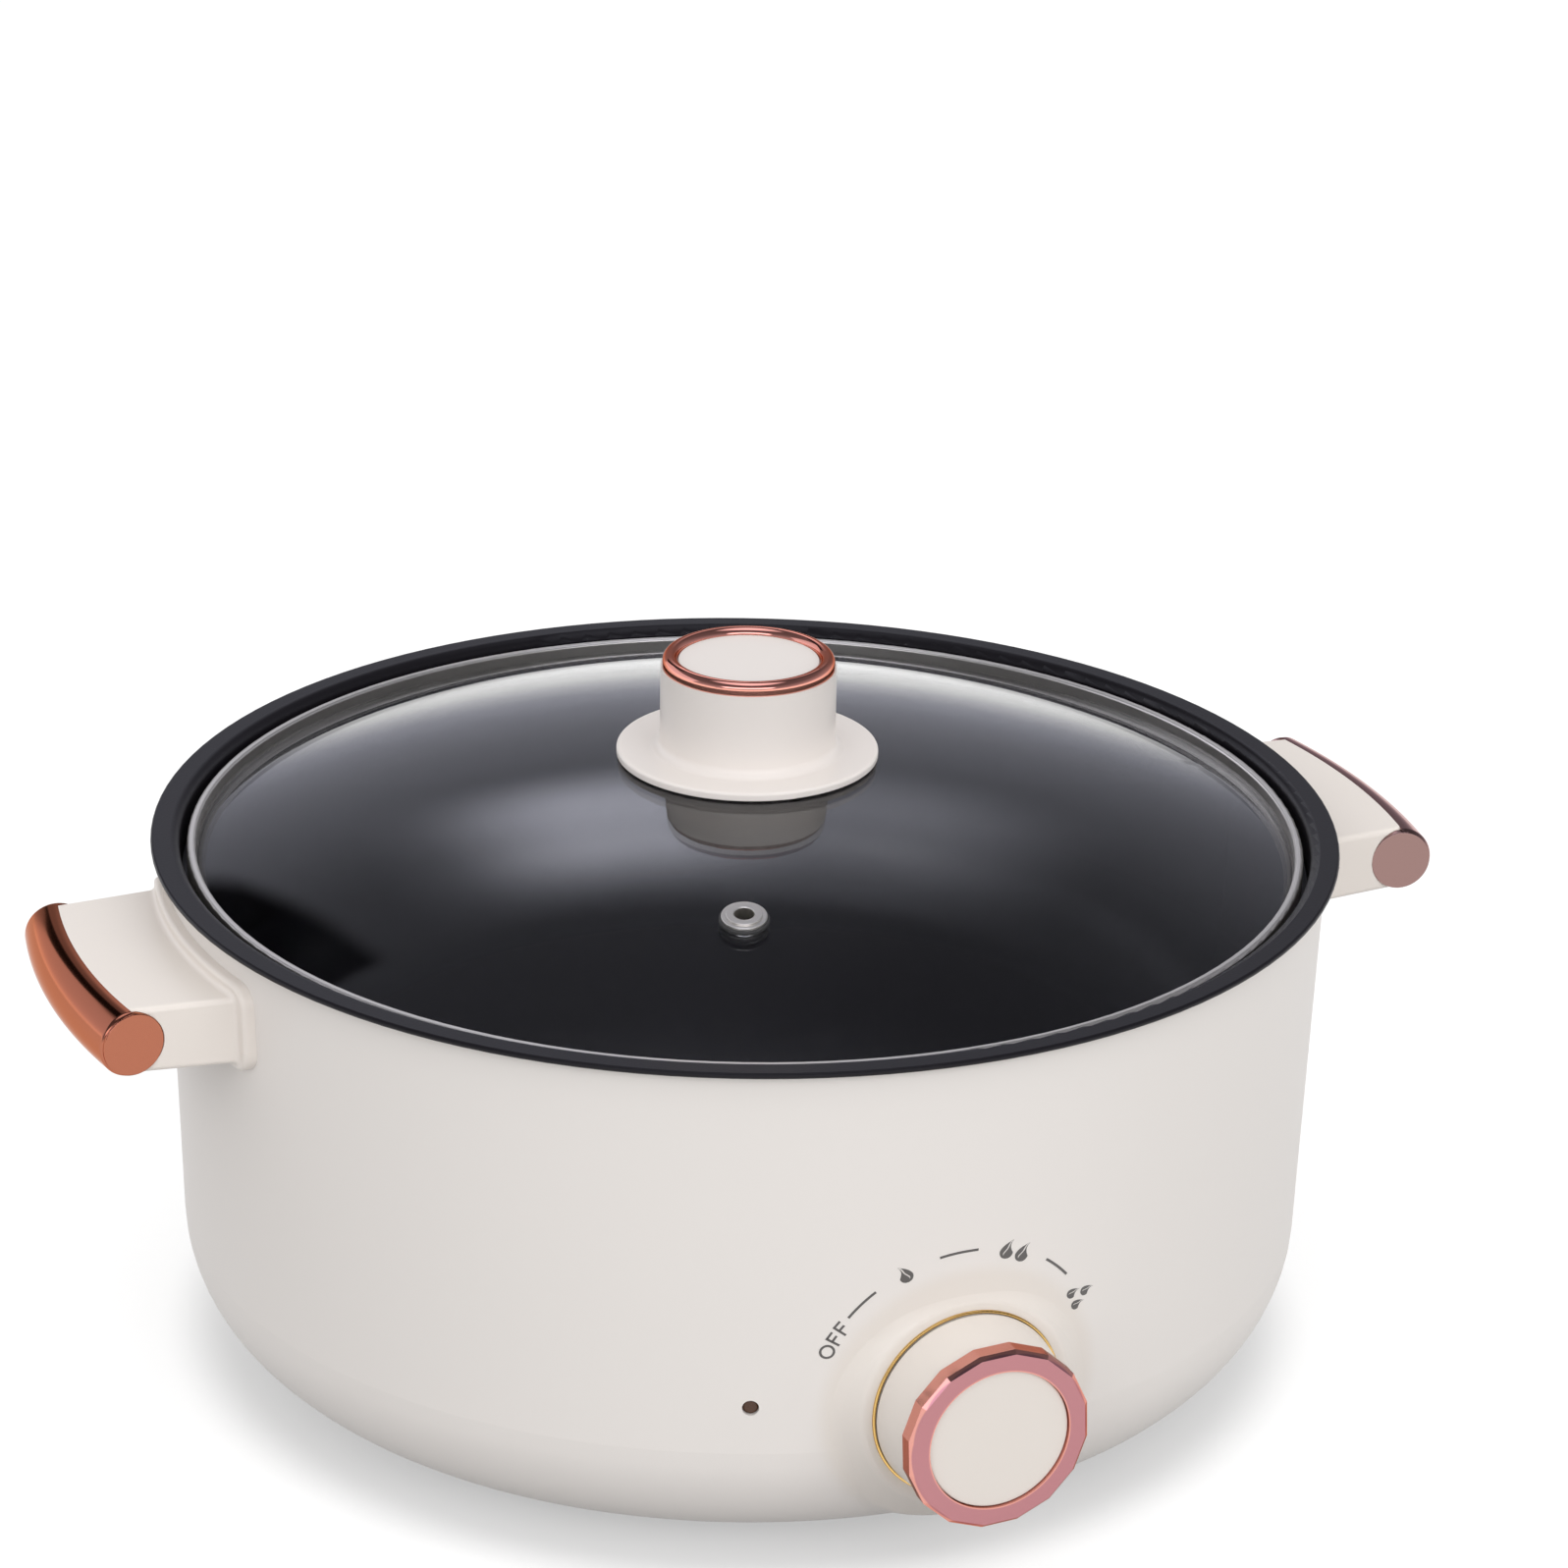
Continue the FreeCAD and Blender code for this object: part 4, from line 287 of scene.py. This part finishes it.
def letter_f():
    """Three straight strokes: a stem, a full bar flush with the stem's top, and a shorter bar."""
    stem = F_STEM * LETTER_HALF
    top = LETTER_HALF - STROKE_HALF
    middle = F_SHORT_BAR_HEIGHT * LETTER_HALF
    lines = [((stem, -LETTER_HALF), (stem, LETTER_HALF)), ((stem, top), (F_LONG_BAR * LETTER_HALF, top)),
             ((stem, middle), (F_SHORT_BAR * LETTER_HALF, middle))]
    return [ribbon(np.linspace(start, end, LINE_STEPS), STROKE_HALF) for start, end in lines]


def flame(half, lean):
    """A tongue of fire as two strips parted by a thin curl, times half; lean 1 or -1 is the tip's side.

    The half width is a quarter ellipse from the foot to the belly, then a power of the way left to the tip.
    The middle line is a power of the way up from the belly, less half a sine wave.  The curl is the middle
    line plus a sine wave in proportion to the half width, and the gap along it opens in a straight ramp.
    """
    rise = np.linspace(-1.0, 1.0, FLAME_ROWS)
    foot = np.clip((rise - FLAME_BELLY) / (1.0 + FLAME_BELLY), -1.0, 0.0)
    top = np.clip((rise - FLAME_BELLY) / (1.0 - FLAME_BELLY), 0.0, 1.0)
    wide = FLAME_TIP + FLAME_WIDTH * np.sqrt(1 - foot ** 2) * (1 - top) ** FLAME_TAPER
    middle = FLAME_LEAN * top ** FLAME_BEND - FLAME_SWAY * np.sin(np.pi * top)
    curl = middle + CURL_SWING * wide * np.sin(CURL_RATE * (rise + CURL_SHIFT))
    gap = GAP_WIDTH * np.clip((rise - GAP_FOOT) / GAP_RISE, 0.0, 1.0)
    left = (middle - wide, np.maximum(curl - gap, middle - wide + LEAST_WIDTH))
    right = (np.minimum(curl + gap, middle + wide - LEAST_WIDTH), middle + wide)
    up = np.repeat(rise[:, None], FLAME_COLUMNS, axis=1)
    return [half * np.stack([lean * np.linspace(*sides, FLAME_COLUMNS, axis=1), up], axis=-1)
            for sides in (left, right)]


def at_place(strips, degrees, radius):
    """Turns a mark so that its top points away from the dial, and moves it out by the radius."""
    turn = math.radians(degrees)
    right = np.array([math.sin(turn), -math.cos(turn)])
    up = np.array([math.cos(turn), math.sin(turn)])
    return [radius * up + strip[..., :1] * right + strip[..., 1:] * up for strip in strips]


def flames(half, places, lean=1.0):
    """One flame of the same size at each place."""
    return [strip for place in places for strip in at_place(flame(half, lean), *place)]


def dash(start, end):
    """A stroke whose angle and radius both run evenly from one place to the other."""
    degrees, radius = np.linspace(start, end, DASH_STEPS).T
    turn = np.radians(degrees)
    return ribbon(np.stack([radius * np.cos(turn), radius * np.sin(turn)], axis=1), DASH_HALF)


def strips_mesh(name, strips):
    """Joins (n, m, 2) strips of dial coordinates into one mesh of quads on the print plane, facing -Y."""
    points, faces, first = [], [], 0
    for strip in strips:
        rows, columns = strip.shape[:2]
        index = np.arange(rows * columns).reshape(rows, columns)
        corners = [index[:-1, :-1], index[:-1, 1:], index[1:, 1:], index[1:, :-1]]
        quads = np.stack(corners, axis=-1).reshape(-1, 4)
        flat = strip.reshape(-1, 2)
        side = flat[quads[:, 1]] - flat[quads[:, 0]]
        diagonal = flat[quads[:, 2]] - flat[quads[:, 0]]
        turned = side[:, 0] * diagonal[:, 1] < side[:, 1] * diagonal[:, 0]
        quads[turned] = quads[turned][:, ::-1]
        faces.append(first + quads)
        plane = np.full(len(flat), PRINT_PLANE)
        points.append(np.stack([DIAL_X + flat[:, 0], plane, DIAL_Z + flat[:, 1]], axis=1))
        first += rows * columns
    mesh = bpy.data.meshes.new(name)
    mesh.from_pydata(np.concatenate(points).tolist(), [], np.concatenate(faces).tolist())
    mesh.update()
    return mesh


def print_on_shell(name, strips):
    """Projects the strips along +Y on the drum, makes them as thick as the ink and rides them on the pot."""
    piece = bpy.data.objects.new(name, strips_mesh(name, strips))
    bpy.context.scene.collection.objects.link(piece)
    wrap = piece.modifiers.new("wrap", "SHRINKWRAP")
    wrap.target = nodes["outer_shell"]
    wrap.wrap_method = "PROJECT"
    wrap.use_project_y = True
    wrap.use_negative_direction = False
    wrap.use_positive_direction = True
    wrap.offset = INK_LIFT
    film = piece.modifiers.new("film", "SOLIDIFY")
    film.thickness = INK_FILM
    film.offset = 1.0
    bpy.context.view_layer.update()
    seen = piece.evaluated_get(bpy.context.evaluated_depsgraph_get())
    mesh = bpy.data.meshes.new_from_object(seen)
    piece.modifiers.clear()
    piece.data = mesh
    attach(piece, "pot_body")
    return piece


grey_ink = finish("grey_ink", INK_GREY, roughness=0.5, grain=5000.0, depth=0.05, IOR=1.5)
off_letters = zip((letter_o(), letter_f(), letter_f()), OFF_PLACES)
marks = {
    "mark_off": [strip for letter, place in off_letters for strip in at_place(letter, *place)],
    "mark_dashes": [dash(start, end) for start, end in DASH_PLACES],
    "mark_one_flame": flames(ONE_FLAME_HALF, ONE_FLAME, lean=-1.0),
    "mark_two_flames": flames(TWO_FLAMES_HALF, TWO_FLAMES),
    "mark_three_flames": flames(THREE_FLAMES_HALF, THREE_FLAMES)}
for name, strips in marks.items():
    print_on_shell(name, strips).data.materials.append(grey_ink)

# ---------------------------------------------------------------------------------------------------------
# Handles.  Two cream mouldings, a shade warmer and smoother than the drum, each screwed on from inside with
# a moulded half tube round its outer edge.  Both tubes have the same thin metal coat, painted in two tones
# as
# painted light: warmer and brighter on the left tube, darker and pinker on the right one.

HANDLE_CREAM = (0.815, 0.755, 0.705), (0.80, 0.74, 0.688)
# The two trims are one coat; each tone is painted with the light its side catches.
LEFT_TRIM_PAINTED_LIGHT = (0.46, 0.165, 0.10), (0.435, 0.155, 0.094)
COPPER_GRAZING = (0.85, 0.60, 0.50)
RIGHT_TRIM_PAINTED_LIGHT = (0.33, 0.205, 0.188), (0.315, 0.195, 0.18)
RIGHT_TRIM_GRAZING = (1.0, 0.80, 0.80)


def plate(name, tones, grazing, roughness, edge=None):
    """A smooth metal coat on plastic; grazing tints what it mirrors at a flat angle."""
    return finish(name, tones, roughness, grain=700.0, depth=0.02, drift=0.02, edge=edge, Metallic=1.0,
                  Specular_Tint=(*grazing, 1.0))


cream_handle = finish("cream_handle", HANDLE_CREAM, roughness=0.36, grain=2000.0, depth=0.06, IOR=1.46)
# Left and right trims: one plating in two painted-light tones.
left_trim_painted_light = plate("trim_plating_painted_light_left", LEFT_TRIM_PAINTED_LIGHT, COPPER_GRAZING, roughness=0.12)
right_trim_painted_light = plate("trim_plating_painted_light_right", RIGHT_TRIM_PAINTED_LIGHT, RIGHT_TRIM_GRAZING, roughness=0.12)
dress(cream_handle, "right_handle", "left_handle")
dress(left_trim_painted_light, "left_handle_trim")
dress(right_trim_painted_light, "right_handle_trim")

# ---------------------------------------------------------------------------------------------------------
# Pot.  Spun aluminium, sprayed inside and over the rim with a black non-stick coat that cures to a soft
# sheen with a faint pebble.

COAT_BLACK = (0.007, 0.006, 0.008), (0.010, 0.009, 0.012)

black_coat = finish("black_coat", COAT_BLACK, roughness=0.34, grain=1500.0, depth=0.22, drift=0.04,
                    IOR=1.5, Specular_IOR_Level=0.2)
dress(black_coat, "inner_pot")

# ---------------------------------------------------------------------------------------------------------
# Lid.  A pressed dome of clear tempered glass with a folded band of polished steel round its edge, and a
# steel eyelet in a rubber grommet as its steam vent.  The four feet are of the same rubber.

CLEAR = (1.0, 1.0, 1.0), (0.985, 0.99, 0.995)
WARM_STEEL = (0.86, 0.83, 0.77), (0.82, 0.79, 0.735)
RUBBER_BLACK = (0.030, 0.030, 0.031), (0.042, 0.041, 0.040)

clear_glass = finish("clear_glass", CLEAR, roughness=0.012, depth=0.0, drift=0.006,
                     Transmission_Weight=1.0, IOR=1.5)
polished_steel = finish("polished_steel", WARM_STEEL, roughness=0.38, grain=3000.0, depth=0.02,
                        Metallic=1.0)
black_rubber = finish("black_rubber", RUBBER_BLACK, roughness=0.62, grain=1500.0, depth=0.3, drift=0.06,
                      IOR=1.5)
dress(clear_glass, "lid_glass")
dress(polished_steel, "lid_rim", "vent_eyelet")
dress(black_rubber, "vent_grommet", "rubber_feet")

# ---------------------------------------------------------------------------------------------------------
# Lid knob.  A wide skirt, a plain round body and a flat cap, moulded in cream in a polished tool, with a
# plated bead snapped on round the cap.

KNOB_CREAM = (0.80, 0.748, 0.715), (0.79, 0.738, 0.702)
BEAD_ROSE = (0.90, 0.40, 0.31), (0.86, 0.38, 0.295)
DARK_GRAZING = (0.45, 0.25, 0.2)

cream_knob = finish("cream_knob", KNOB_CREAM, roughness=0.30, grain=1400.0, depth=0.03, drift=0.02,
                    IOR=1.48)
rose_bead = plate("rose_bead_plating", BEAD_ROSE, DARK_GRAZING, roughness=0.08)
dress(cream_knob, "lid_knob_skirt", "lid_knob", "lid_knob_cap")
dress(rose_bead, "lid_knob_ring")

# ---------------------------------------------------------------------------------------------------------
# Dial.  A cream body and cap with a plated ring of sixteen facets between them, over a thin gilt ring that
# lies on the boss.  The ring is one plating painted in two tones: painted shade, a cooler and darker rose,
# on its flat face, and painted light, a brighter salmon, on its facets, bevel and bore.

DIAL_CREAM = (0.80, 0.742, 0.69), (0.79, 0.73, 0.675)
# One plating in two tones: painted shade on the flat face, painted light on the facets, bevel and bore.
RING_FACE_PAINTED_SHADE = (0.53, 0.245, 0.26), (0.45, 0.20, 0.218)
RING_SIDE_PAINTED_LIGHT = (0.78, 0.36, 0.30)
FACE_INNER = 0.0194             # the ring's flat face, with its darker painted tone, lies between these two radii
FACE_OUTER = 0.0236
FACE_FADE = 0.0003
GILT = (0.80, 0.54, 0.19), (0.75, 0.49, 0.17)


def ring_side_painted_light_mask(tree):
    """1 on the ring's facets, bevel and bore, where its brighter painted light goes, 0 on its flat face."""
    distance = from_dial(tree)
    outside = add_range(tree, distance, 0.0, 1.0, FACE_OUTER, FACE_OUTER + FACE_FADE)
    inside = add_range(tree, distance, 1.0, 0.0, FACE_INNER - FACE_FADE, FACE_INNER)
    return add_math(tree, "MAXIMUM", outside, inside)


cream_dial = finish("cream_dial", DIAL_CREAM, roughness=0.30, grain=1400.0, depth=0.03, drift=0.02,
                    IOR=1.48)
# The ring's plating, with painted light on its sides.
rose_dial_painted_light = plate("rose_dial_plating_painted_light", RING_FACE_PAINTED_SHADE, DARK_GRAZING, roughness=0.16,
                  edge=(ring_side_painted_light_mask, RING_SIDE_PAINTED_LIGHT))
gilt = plate("gilt_plating", GILT, DARK_GRAZING, roughness=0.16)
dress(cream_dial, "knob_body", "knob_cap")
dress(rose_dial_painted_light, "knob_ring")
dress(gilt, "knob_base_ring")

# ---------------------------------------------------------------------------------------------------------
# Lamp.  A smoky amber lens pressed into a hole beside the dial from inside, with a small lamp behind it.

SMOKY_AMBER = (0.15, 0.055, 0.018), (0.12, 0.045, 0.014)

amber = finish("amber_lens", SMOKY_AMBER, roughness=0.10, depth=0.02, drift=0.02, IOR=1.49,
               Transmission_Weight=0.5)
dress(amber, "indicator_lens", "indicator_lamp")

# ---------------------------------------------------------------------------------------------------------
# Inlet, base and works.  Black mouldings, zinc-plated pressings and screws, the cast heater with its tube,
# and insulated wires in brown, blue and green.  All but the inlet and the base lie behind the cream shell.

PLASTIC_BLACK = (0.030, 0.030, 0.032), (0.038, 0.037, 0.038)
ZINC = (0.62, 0.63, 0.64), (0.52, 0.53, 0.55)
TUBE_STEEL = (0.34, 0.33, 0.31), (0.26, 0.25, 0.24)
CAST_ALUMINIUM = (0.70, 0.70, 0.71), (0.60, 0.60, 0.61)
SLEEVE_WHITE = (0.82, 0.82, 0.79), (0.76, 0.76, 0.72)
LIVE_BROWN = (0.16, 0.065, 0.03), (0.13, 0.05, 0.025)
NEUTRAL_BLUE = (0.04, 0.13, 0.45), (0.035, 0.11, 0.38)
EARTH_GREEN = (0.13, 0.36, 0.05), (0.11, 0.30, 0.04)

black_plastic = finish("black_plastic", PLASTIC_BLACK, roughness=0.5, depth=0.2, IOR=1.5)
zinc = finish("zinc_plating", ZINC, roughness=0.28, grain=900.0, depth=0.05, drift=0.08, Metallic=1.0)
tube_steel = finish("tube_steel", TUBE_STEEL, roughness=0.42, grain=900.0, drift=0.08, Metallic=1.0)
aluminium = finish("cast_aluminium", CAST_ALUMINIUM, roughness=0.38, grain=600.0, drift=0.08,
                   Metallic=1.0)
white_sleeve = finish("white_sleeve", SLEEVE_WHITE, roughness=0.5, IOR=1.46)
dress(black_plastic, "thermostat", "base_cover", "rotary_switch", "power_inlet")
dress(zinc, "fuse_clip", "pot_pillars", "base_screws", "handle_screws", "switch_bracket", "switch_screws",
      "inlet_pins", "inlet_screws", "switch_shaft", "lid_knob_washer", "lid_knob_screw")
dress(tube_steel, "heating_tube")
dress(aluminium, "heater_plate")
dress(white_sleeve, "thermal_fuse")
wires = (
    ("brown_wire", LIVE_BROWN, "live_wires"),
    ("blue_wire", NEUTRAL_BLUE, "neutral_wires"),
    ("green_wire", EARTH_GREEN, "earth_wire"))
for name, tones, node in wires:
    dress(finish(name, tones, roughness=0.42, depth=0.05, IOR=1.5), node)

# ---------------------------------------------------------------------------------------------------------
# Studio.  A wide white table with a painted contact shadow close under the object, under a white surround,
# two large soft lamps, soft boxes and dark flags that only glossy surfaces see, and a long lens.

FLOOR_HALF = 6.0
FLOOR_WHITE = 0.40
FLOOR_GLOW = 0.68
PAINTED_SHADOW_GLOW = 0.42               # the table's lower glow close under the object, a painted contact shadow
PAINTED_SHADOW_EDGE = 0.140, 0.162       # the radii between which it rises to FLOOR_GLOW

WHITE = (1.0, 1.0, 1.0)
WORLD_LOW = 0.62
WORLD_HIGH = 1.08
COOL_WHITE = (0.93, 0.94, 1.08)
COOL_HEIGHT = 0.12              # the ray's height at which what it mirrors is all cool white
MIRRORED_LEVELS = (             # the ray's height, which is the sine of its elevation, and the level there
    (0.0, 1.0), (0.03, 0.84), (0.06, 0.70), (0.10, 0.55), (0.17, 0.43), (0.26, 0.36), (0.42, 0.29),
    (0.60, 0.17), (0.90, 0.12), (0.95, 1.1), (1.0, 1.5))

# Each soft box is followed by the level it adds, and each flag by the share of light it leaves.  Angles
# are in degrees.
FRONT_BOX = dict(azimuth=202.0, elevation=24.0, half_wide=32.0, half_tall=9.0, soft=4.0), 2.0
LEFT_BOX = dict(azimuth=-48.0, elevation=17.0, half_wide=34.0, half_tall=18.0, soft=2.0), 0.60
BACK_BOX = dict(azimuth=15.5, elevation=34.0, half_wide=5.0, half_tall=7.0, soft=4.0), 0.75
BACK_WIDE_BOX = dict(azimuth=21.5, elevation=34.5, half_wide=12.0, half_tall=7.5, soft=5.0), 0.50
BACK_FLAG = dict(azimuth=-9.0, elevation=30.5, half_wide=5.7, half_tall=12.5, soft=0.8, roll=8.6), 0.04
RIGHT_FLAG = dict(azimuth=46.0, elevation=25.0, half_wide=12.0, half_tall=40.0, soft=8.0), 0.72
LEAST_DEPTH = 0.001             # the least share of a ray towards a card, so that no slope divides by zero

KEY_PLACE = (0.58, -2.18, 1.10)
KEY_POWER = 16.5
FILL_PLACE = (-1.75, -1.45, 1.10)
FILL_POWER = 10.5
LAMP_WIDTH = 1.5
LAMP_HEIGHT = 1.3
LAMP_AIM = (0.0, 0.0, 0.08)

CAMERA_PLACE = (-0.48164, -1.19313, 0.67759)
CAMERA_TURN = -22.431
CAMERA_TILT = 67.984
CAMERA_ROLL = 1.18
CAMERA_LENS = 118.18
SENSOR_WIDTH = 36.0


def path_mask(tree, *rays):
    """1 for the named kinds of ray, 0 for the others."""
    path = tree.nodes.new("ShaderNodeLightPath")
    mask = path.outputs[rays[0]]
    for ray in rays[1:]:
        mask = add_math(tree, "MAXIMUM", mask, path.outputs[ray])
    return mask


def mix_shaders(tree, mask, first, second):
    """The first shader where the mask is 0 and the second where it is 1."""
    mix = tree.nodes.new("ShaderNodeMixShader")
    tree.links.new(mask, mix.inputs["Fac"])
    tree.links.new(first, mix.inputs[1])
    tree.links.new(second, mix.inputs[2])
    return mix.outputs[0]


def make_floor():
    """A flat square table top that glows faintly in view, so that it is white but keeps its shadow."""
    h = FLOOR_HALF
    mesh = bpy.data.meshes.new("floor")
    mesh.from_pydata([(-h, -h, 0), (h, -h, 0), (h, h, 0), (-h, h, 0)], [], [(0, 1, 2, 3)])
    floor = bpy.data.objects.new("floor", mesh)
    bpy.context.scene.collection.objects.link(floor)
    material = bpy.data.materials.new("floor")
    material.use_nodes = True
    tree = material.node_tree
    tree.nodes.remove(tree.nodes["Principled BSDF"])
    plain = tree.nodes.new("ShaderNodeBsdfDiffuse")
    plain.inputs["Color"].default_value = (FLOOR_WHITE, FLOOR_WHITE, FLOOR_WHITE, 1.0)
    glow = tree.nodes.new("ShaderNodeEmission")
    # The glow is lower close round the object's foot: a painted contact shadow on the table.
    distance = add_vector_math(tree, "LENGTH", object_place(tree))
    strength = add_range(tree, distance, PAINTED_SHADOW_GLOW, FLOOR_GLOW, *PAINTED_SHADOW_EDGE, smooth=True)
    tree.links.new(strength, glow.inputs["Strength"])
    both = tree.nodes.new("ShaderNodeAddShader")
    tree.links.new(plain.outputs[0], both.inputs[0])
    tree.links.new(glow.outputs[0], both.inputs[1])
    mask = path_mask(tree, "Is Camera Ray", "Is Glossy Ray", "Is Transmission Ray")
    seen = mix_shaders(tree, mask, plain.outputs[0], both.outputs[0])
    tree.links.new(seen, tree.nodes["Material Output"].inputs["Surface"])
    mesh.materials.append(material)
    return floor


make_floor()


def panel_mask(tree, ray, azimuth, elevation, half_wide, half_tall, soft, roll=0.0):
    """1 on a card that faces the object, with soft edges: azimuth runs from +Y towards +X.

    On each axis of the card a ray's slope is its share along that axis over its share towards the card.  The
    mask falls from 1 to 0 as the slope passes the card's edge.
    """
    turn, lift = math.radians(azimuth), math.radians(elevation)
    ahead = Vector((math.sin(turn) * math.cos(lift), math.cos(turn) * math.cos(lift), math.sin(lift)))
    level = Vector((math.cos(turn), -math.sin(turn), 0.0))
    right = Matrix.Rotation(math.radians(-roll), 3, ahead) @ level
    up = right.cross(ahead)
    depth = add_math(tree, "MAXIMUM", add_vector_math(tree, "DOT_PRODUCT", ray, ahead), LEAST_DEPTH)
    mask = 1.0
    for axis, half in ((right, half_wide), (up, half_tall)):
        along = add_math(tree, "DIVIDE", add_vector_math(tree, "DOT_PRODUCT", ray, axis), depth)
        slope = add_math(tree, "ABSOLUTE", along)
        inner = math.tan(math.radians(max(half - soft, 0.0)))
        outer = math.tan(math.radians(half + soft))
        mask = add_math(tree, "MULTIPLY", add_range(tree, slope, 1.0, 0.0, inner, outer, smooth=True), mask)
    return mask


def add_background(tree, colour, strength):
    """A Background shader of the given colour and strength, each fixed or a socket."""
    node = tree.nodes.new("ShaderNodeBackground")
    put(tree, colour, node.inputs["Color"])
    put(tree, strength, node.inputs["Strength"])
    return node.outputs[0]


def make_world():
    """Even light for the object, white for the camera, and a graded surround for what mirrors it."""
    world = bpy.data.worlds.new("studio")
    bpy.context.scene.world = world
    world.use_nodes = True
    tree = world.node_tree
    tree.nodes.remove(tree.nodes["Background"])
    ray = tree.nodes.new("ShaderNodeTexCoord").outputs["Generated"]
    height = add_vector_math(tree, "DOT_PRODUCT", ray, (0.0, 0.0, 1.0))
    light = add_background(tree, WHITE, add_range(tree, height, WORLD_LOW, WORLD_HIGH))
    ramp = tree.nodes.new("ShaderNodeValToRGB")
    while len(ramp.color_ramp.elements) < len(MIRRORED_LEVELS):
        ramp.color_ramp.elements.new(1.0)
    for element, (at, shade) in zip(ramp.color_ramp.elements, MIRRORED_LEVELS):
        element.position = at
        element.color = (shade, shade, shade, 1.0)
    tree.links.new(height, ramp.inputs["Fac"])
    level = ramp.outputs["Color"]
    for card, added in (FRONT_BOX, LEFT_BOX, BACK_BOX, BACK_WIDE_BOX):
        level = add_math(tree, "MULTIPLY_ADD", panel_mask(tree, ray, **card), added, level)
    for card, left in (BACK_FLAG, RIGHT_FLAG):
        level = add_math(tree, "MULTIPLY", level, add_range(tree, panel_mask(tree, ray, **card), 1.0, left))
    tint = mix_tones(tree, add_range(tree, height, 0.0, 1.0, 0.0, COOL_HEIGHT), WHITE, COOL_WHITE)
    surround = add_background(tree, tint, level)
    lit = mix_shaders(tree, path_mask(tree, "Is Glossy Ray"), light, surround)
    seen = mix_shaders(tree, path_mask(tree, "Is Camera Ray"), lit, add_background(tree, WHITE, 1.0))
    tree.links.new(seen, tree.nodes["World Output"].inputs["Surface"])


make_world()


def soft_lamp(name, place, power):
    """A rectangular area lamp that faces the object and isn't mirrored in it."""
    data = bpy.data.lights.new(name, "AREA")
    data.shape = "RECTANGLE"
    data.size = LAMP_WIDTH
    data.size_y = LAMP_HEIGHT
    data.energy = power
    lamp = bpy.data.objects.new(name, data)
    lamp.location = place
    lamp.rotation_mode = "QUATERNION"
    lamp.rotation_quaternion = (Vector(LAMP_AIM) - Vector(place)).to_track_quat("-Z", "Y")
    lamp.visible_glossy = False
    bpy.context.scene.collection.objects.link(lamp)
    return lamp


soft_lamp("key", KEY_PLACE, KEY_POWER)
soft_lamp("fill", FILL_PLACE, FILL_POWER)

camera = bpy.data.objects.new("camera", bpy.data.cameras.new("camera"))
camera.data.lens = CAMERA_LENS
camera.data.sensor_width = SENSOR_WIDTH
camera.matrix_world = (
    Matrix.Translation(CAMERA_PLACE)
    @ Matrix.Rotation(math.radians(CAMERA_TURN), 4, "Z")
    @ Matrix.Rotation(math.radians(CAMERA_TILT), 4, "X")
    @ Matrix.Rotation(math.radians(CAMERA_ROLL), 4, "Z"))
bpy.context.scene.collection.objects.link(camera)
bpy.context.scene.camera = camera
bpy.context.scene.view_settings.view_transform = "Standard"
